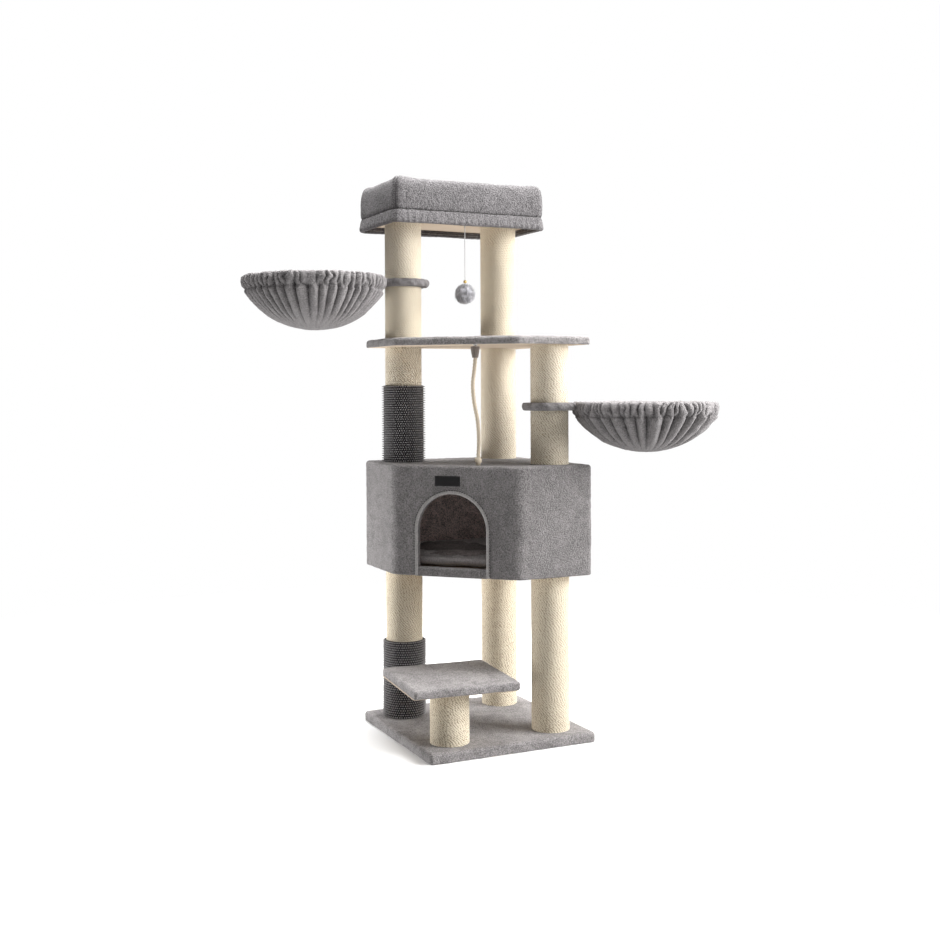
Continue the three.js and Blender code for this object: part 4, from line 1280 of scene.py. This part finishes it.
STRING_LENGTH = 0.1641
string_line = np.column_stack(
    [np.full(160, POMPOM_X), np.full(160, POMPOM_Y), np.linspace(1.5582, 1.5582 - STRING_LENGTH, 160)]
)
points, faces = laid_rope(string_line, 1.5 * MM, 2, 6 * MM, 6)
string = piece("pompom_twine", points, faces, STRING, "pompom", stands_for=["pompom_string"], slot="string")
bead_profile = [(1.6, -5.1), (3.4, -4.4), (4.8, -2.8), (5.4, -0.9), (5.5, 0), (5.4, 0.9), (4.8, 2.8),
                (3.4, 4.4), (1.6, 5.1), (1.3, 4.4), (1.3, -4.4), (1.6, -5.1)]
points, faces = lathe(np.array(bead_profile) * MM, 32, (POMPOM_X, POMPOM_Y, 1.3883))
bead = piece("pompom_brass_bead", points, faces, BRASS, "pompom", stands_for=["pompom_bead"], slot="brass")


def pompom_ball(centre, radius):
    """A trimmed ball of yarn ends: a lumpy core with thousands of short tufts."""
    number = 3600
    k = np.arange(number) + 0.5
    polar, turn = np.arccos(1 - 2 * k / number), k * math.pi * (1 + math.sqrt(5))
    out = np.column_stack([np.sin(polar) * np.cos(turn), np.sin(polar) * np.sin(turn), np.cos(polar)])
    core = 26.5 * MM
    reach = radius - core + 2.0 * MM * lumps(out, 0.22, 82) + random.normal(0, 0.9 * MM, number)
    lean = out + 0.3 * random.normal(size=out.shape)
    bases = np.array(centre) + out * core
    points, faces = cones(bases, lean, 1.35 * MM, np.maximum(reach, 2.5 * MM), 4)
    ball_rows = [(core * math.sin(t), -core * math.cos(t)) for t in np.linspace(0.03, math.pi - 0.03, 20)]
    core_points, core_faces = lathe(ball_rows, 32, centre)
    piece("pompom_core", core_points, core_faces, POMPOM, "pompom", slot="plush")
    piece(
        "pompom_tufts", points, faces, POMPOM, "pompom",
        stands_for=["pompom_ball"], slot="plush", smooth=False,
    )


pompom_ball((POMPOM_X, POMPOM_Y, 1.35), 33 * MM)

# ---- floor and light ----------------------------------------------------------------------------
FLOOR_NEAR, FLOOR_FAR = 1.3, 2.9


def studio():
    """A pale floor fading into a pale backdrop, with four lamps: right, low left, top and inside the cave."""
    look = Look("floor", roughness=0.95, specular=0.05)
    at = look.place()
    grain = look.noise(at, 3.0, 2.0)
    look.colour(look.amount(0.5, (grain, 0.1)), (0.88, 0.88, 0.88), (0.92, 0.92, 0.92))
    far = look.node("ShaderNodeVectorMath", {0: at}, operation="LENGTH").outputs["Value"]
    left = look.math("SUBTRACT", FLOOR_FAR, far)
    fade = look.math("DIVIDE", left, FLOOR_FAR - FLOOR_NEAR, clamp=True)
    look.tree.links.new(fade, look.shader.inputs["Alpha"])
    turns = circle(96)
    points = [(0.0, 0.0, 0.0)] + [(FLOOR_FAR * math.cos(t), FLOOR_FAR * math.sin(t), 0.0) for t in turns]
    faces = [(0, 1 + k, 1 + (k + 1) % 96) for k in range(96)]
    mesh = bpy.data.meshes.new("floor")
    mesh.from_pydata(points, [], faces)
    mesh.materials.append(look.material)
    floor = bpy.data.objects.new("floor", mesh)
    bpy.context.scene.collection.objects.link(floor)
    floor.visible_diffuse = False
    lamps = [
        ("key_right", (2.9, -2.1, 1.9), (0.0, 0.0, 0.8), 2.6, 290, 180),
        ("left_low", (-1.45, 1.25, 0.25), (-0.1, 0.1, 0.5), 0.8, 9, 70),
        ("top", (0.3, 0.5, 4.4), (0.0, 0.0, 0.5), 3.2, 450, 180),
        ("cave_fill", (-0.06, -0.05, 0.785), (0.1, 0.1, 0.66), 0.12, 0.055, 150),
    ]
    for name, place, aim, width, power, spread in lamps:
        data = bpy.data.lights.new(name, "AREA")
        data.shape = "SQUARE"
        data.size = width
        data.energy = power
        data.spread = math.radians(spread)
        lamp = bpy.data.objects.new(name, data)
        lamp.location = place
        lamp.rotation_euler = (Vector(aim) - Vector(place)).to_track_quat("-Z", "Y").to_euler()
        lamp.visible_camera = False
        bpy.context.scene.collection.objects.link(lamp)
    world = bpy.data.worlds.new("studio")
    world.use_nodes = True
    nodes, links = world.node_tree.nodes, world.node_tree.links
    back = nodes["Background"]
    rays = nodes.new("ShaderNodeLightPath")
    sky = nodes.new("ShaderNodeTexCoord")
    split = nodes.new("ShaderNodeSeparateXYZ")
    links.new(sky.outputs["Generated"], split.inputs[0])
    ramp = nodes.new("ShaderNodeMapRange")
    ramp.interpolation_type = "SMOOTHSTEP"
    for socket, value in zip(("From Min", "From Max", "To Min", "To Max"), (-0.75, -0.25, 1.15, 0.32)):
        ramp.inputs[socket].default_value = value
    links.new(split.outputs["Z"], ramp.inputs["Value"])
    level = nodes.new("ShaderNodeMix")
    links.new(rays.outputs["Is Camera Ray"], level.inputs[0])
    links.new(ramp.outputs["Result"], level.inputs[2])
    level.inputs[3].default_value = 1.0
    links.new(level.outputs[0], back.inputs["Strength"])
    back.inputs["Color"].default_value = (1, 1, 1, 1)
    bpy.context.scene.world = world
    bpy.context.scene.view_settings.view_transform = "Standard"


studio()
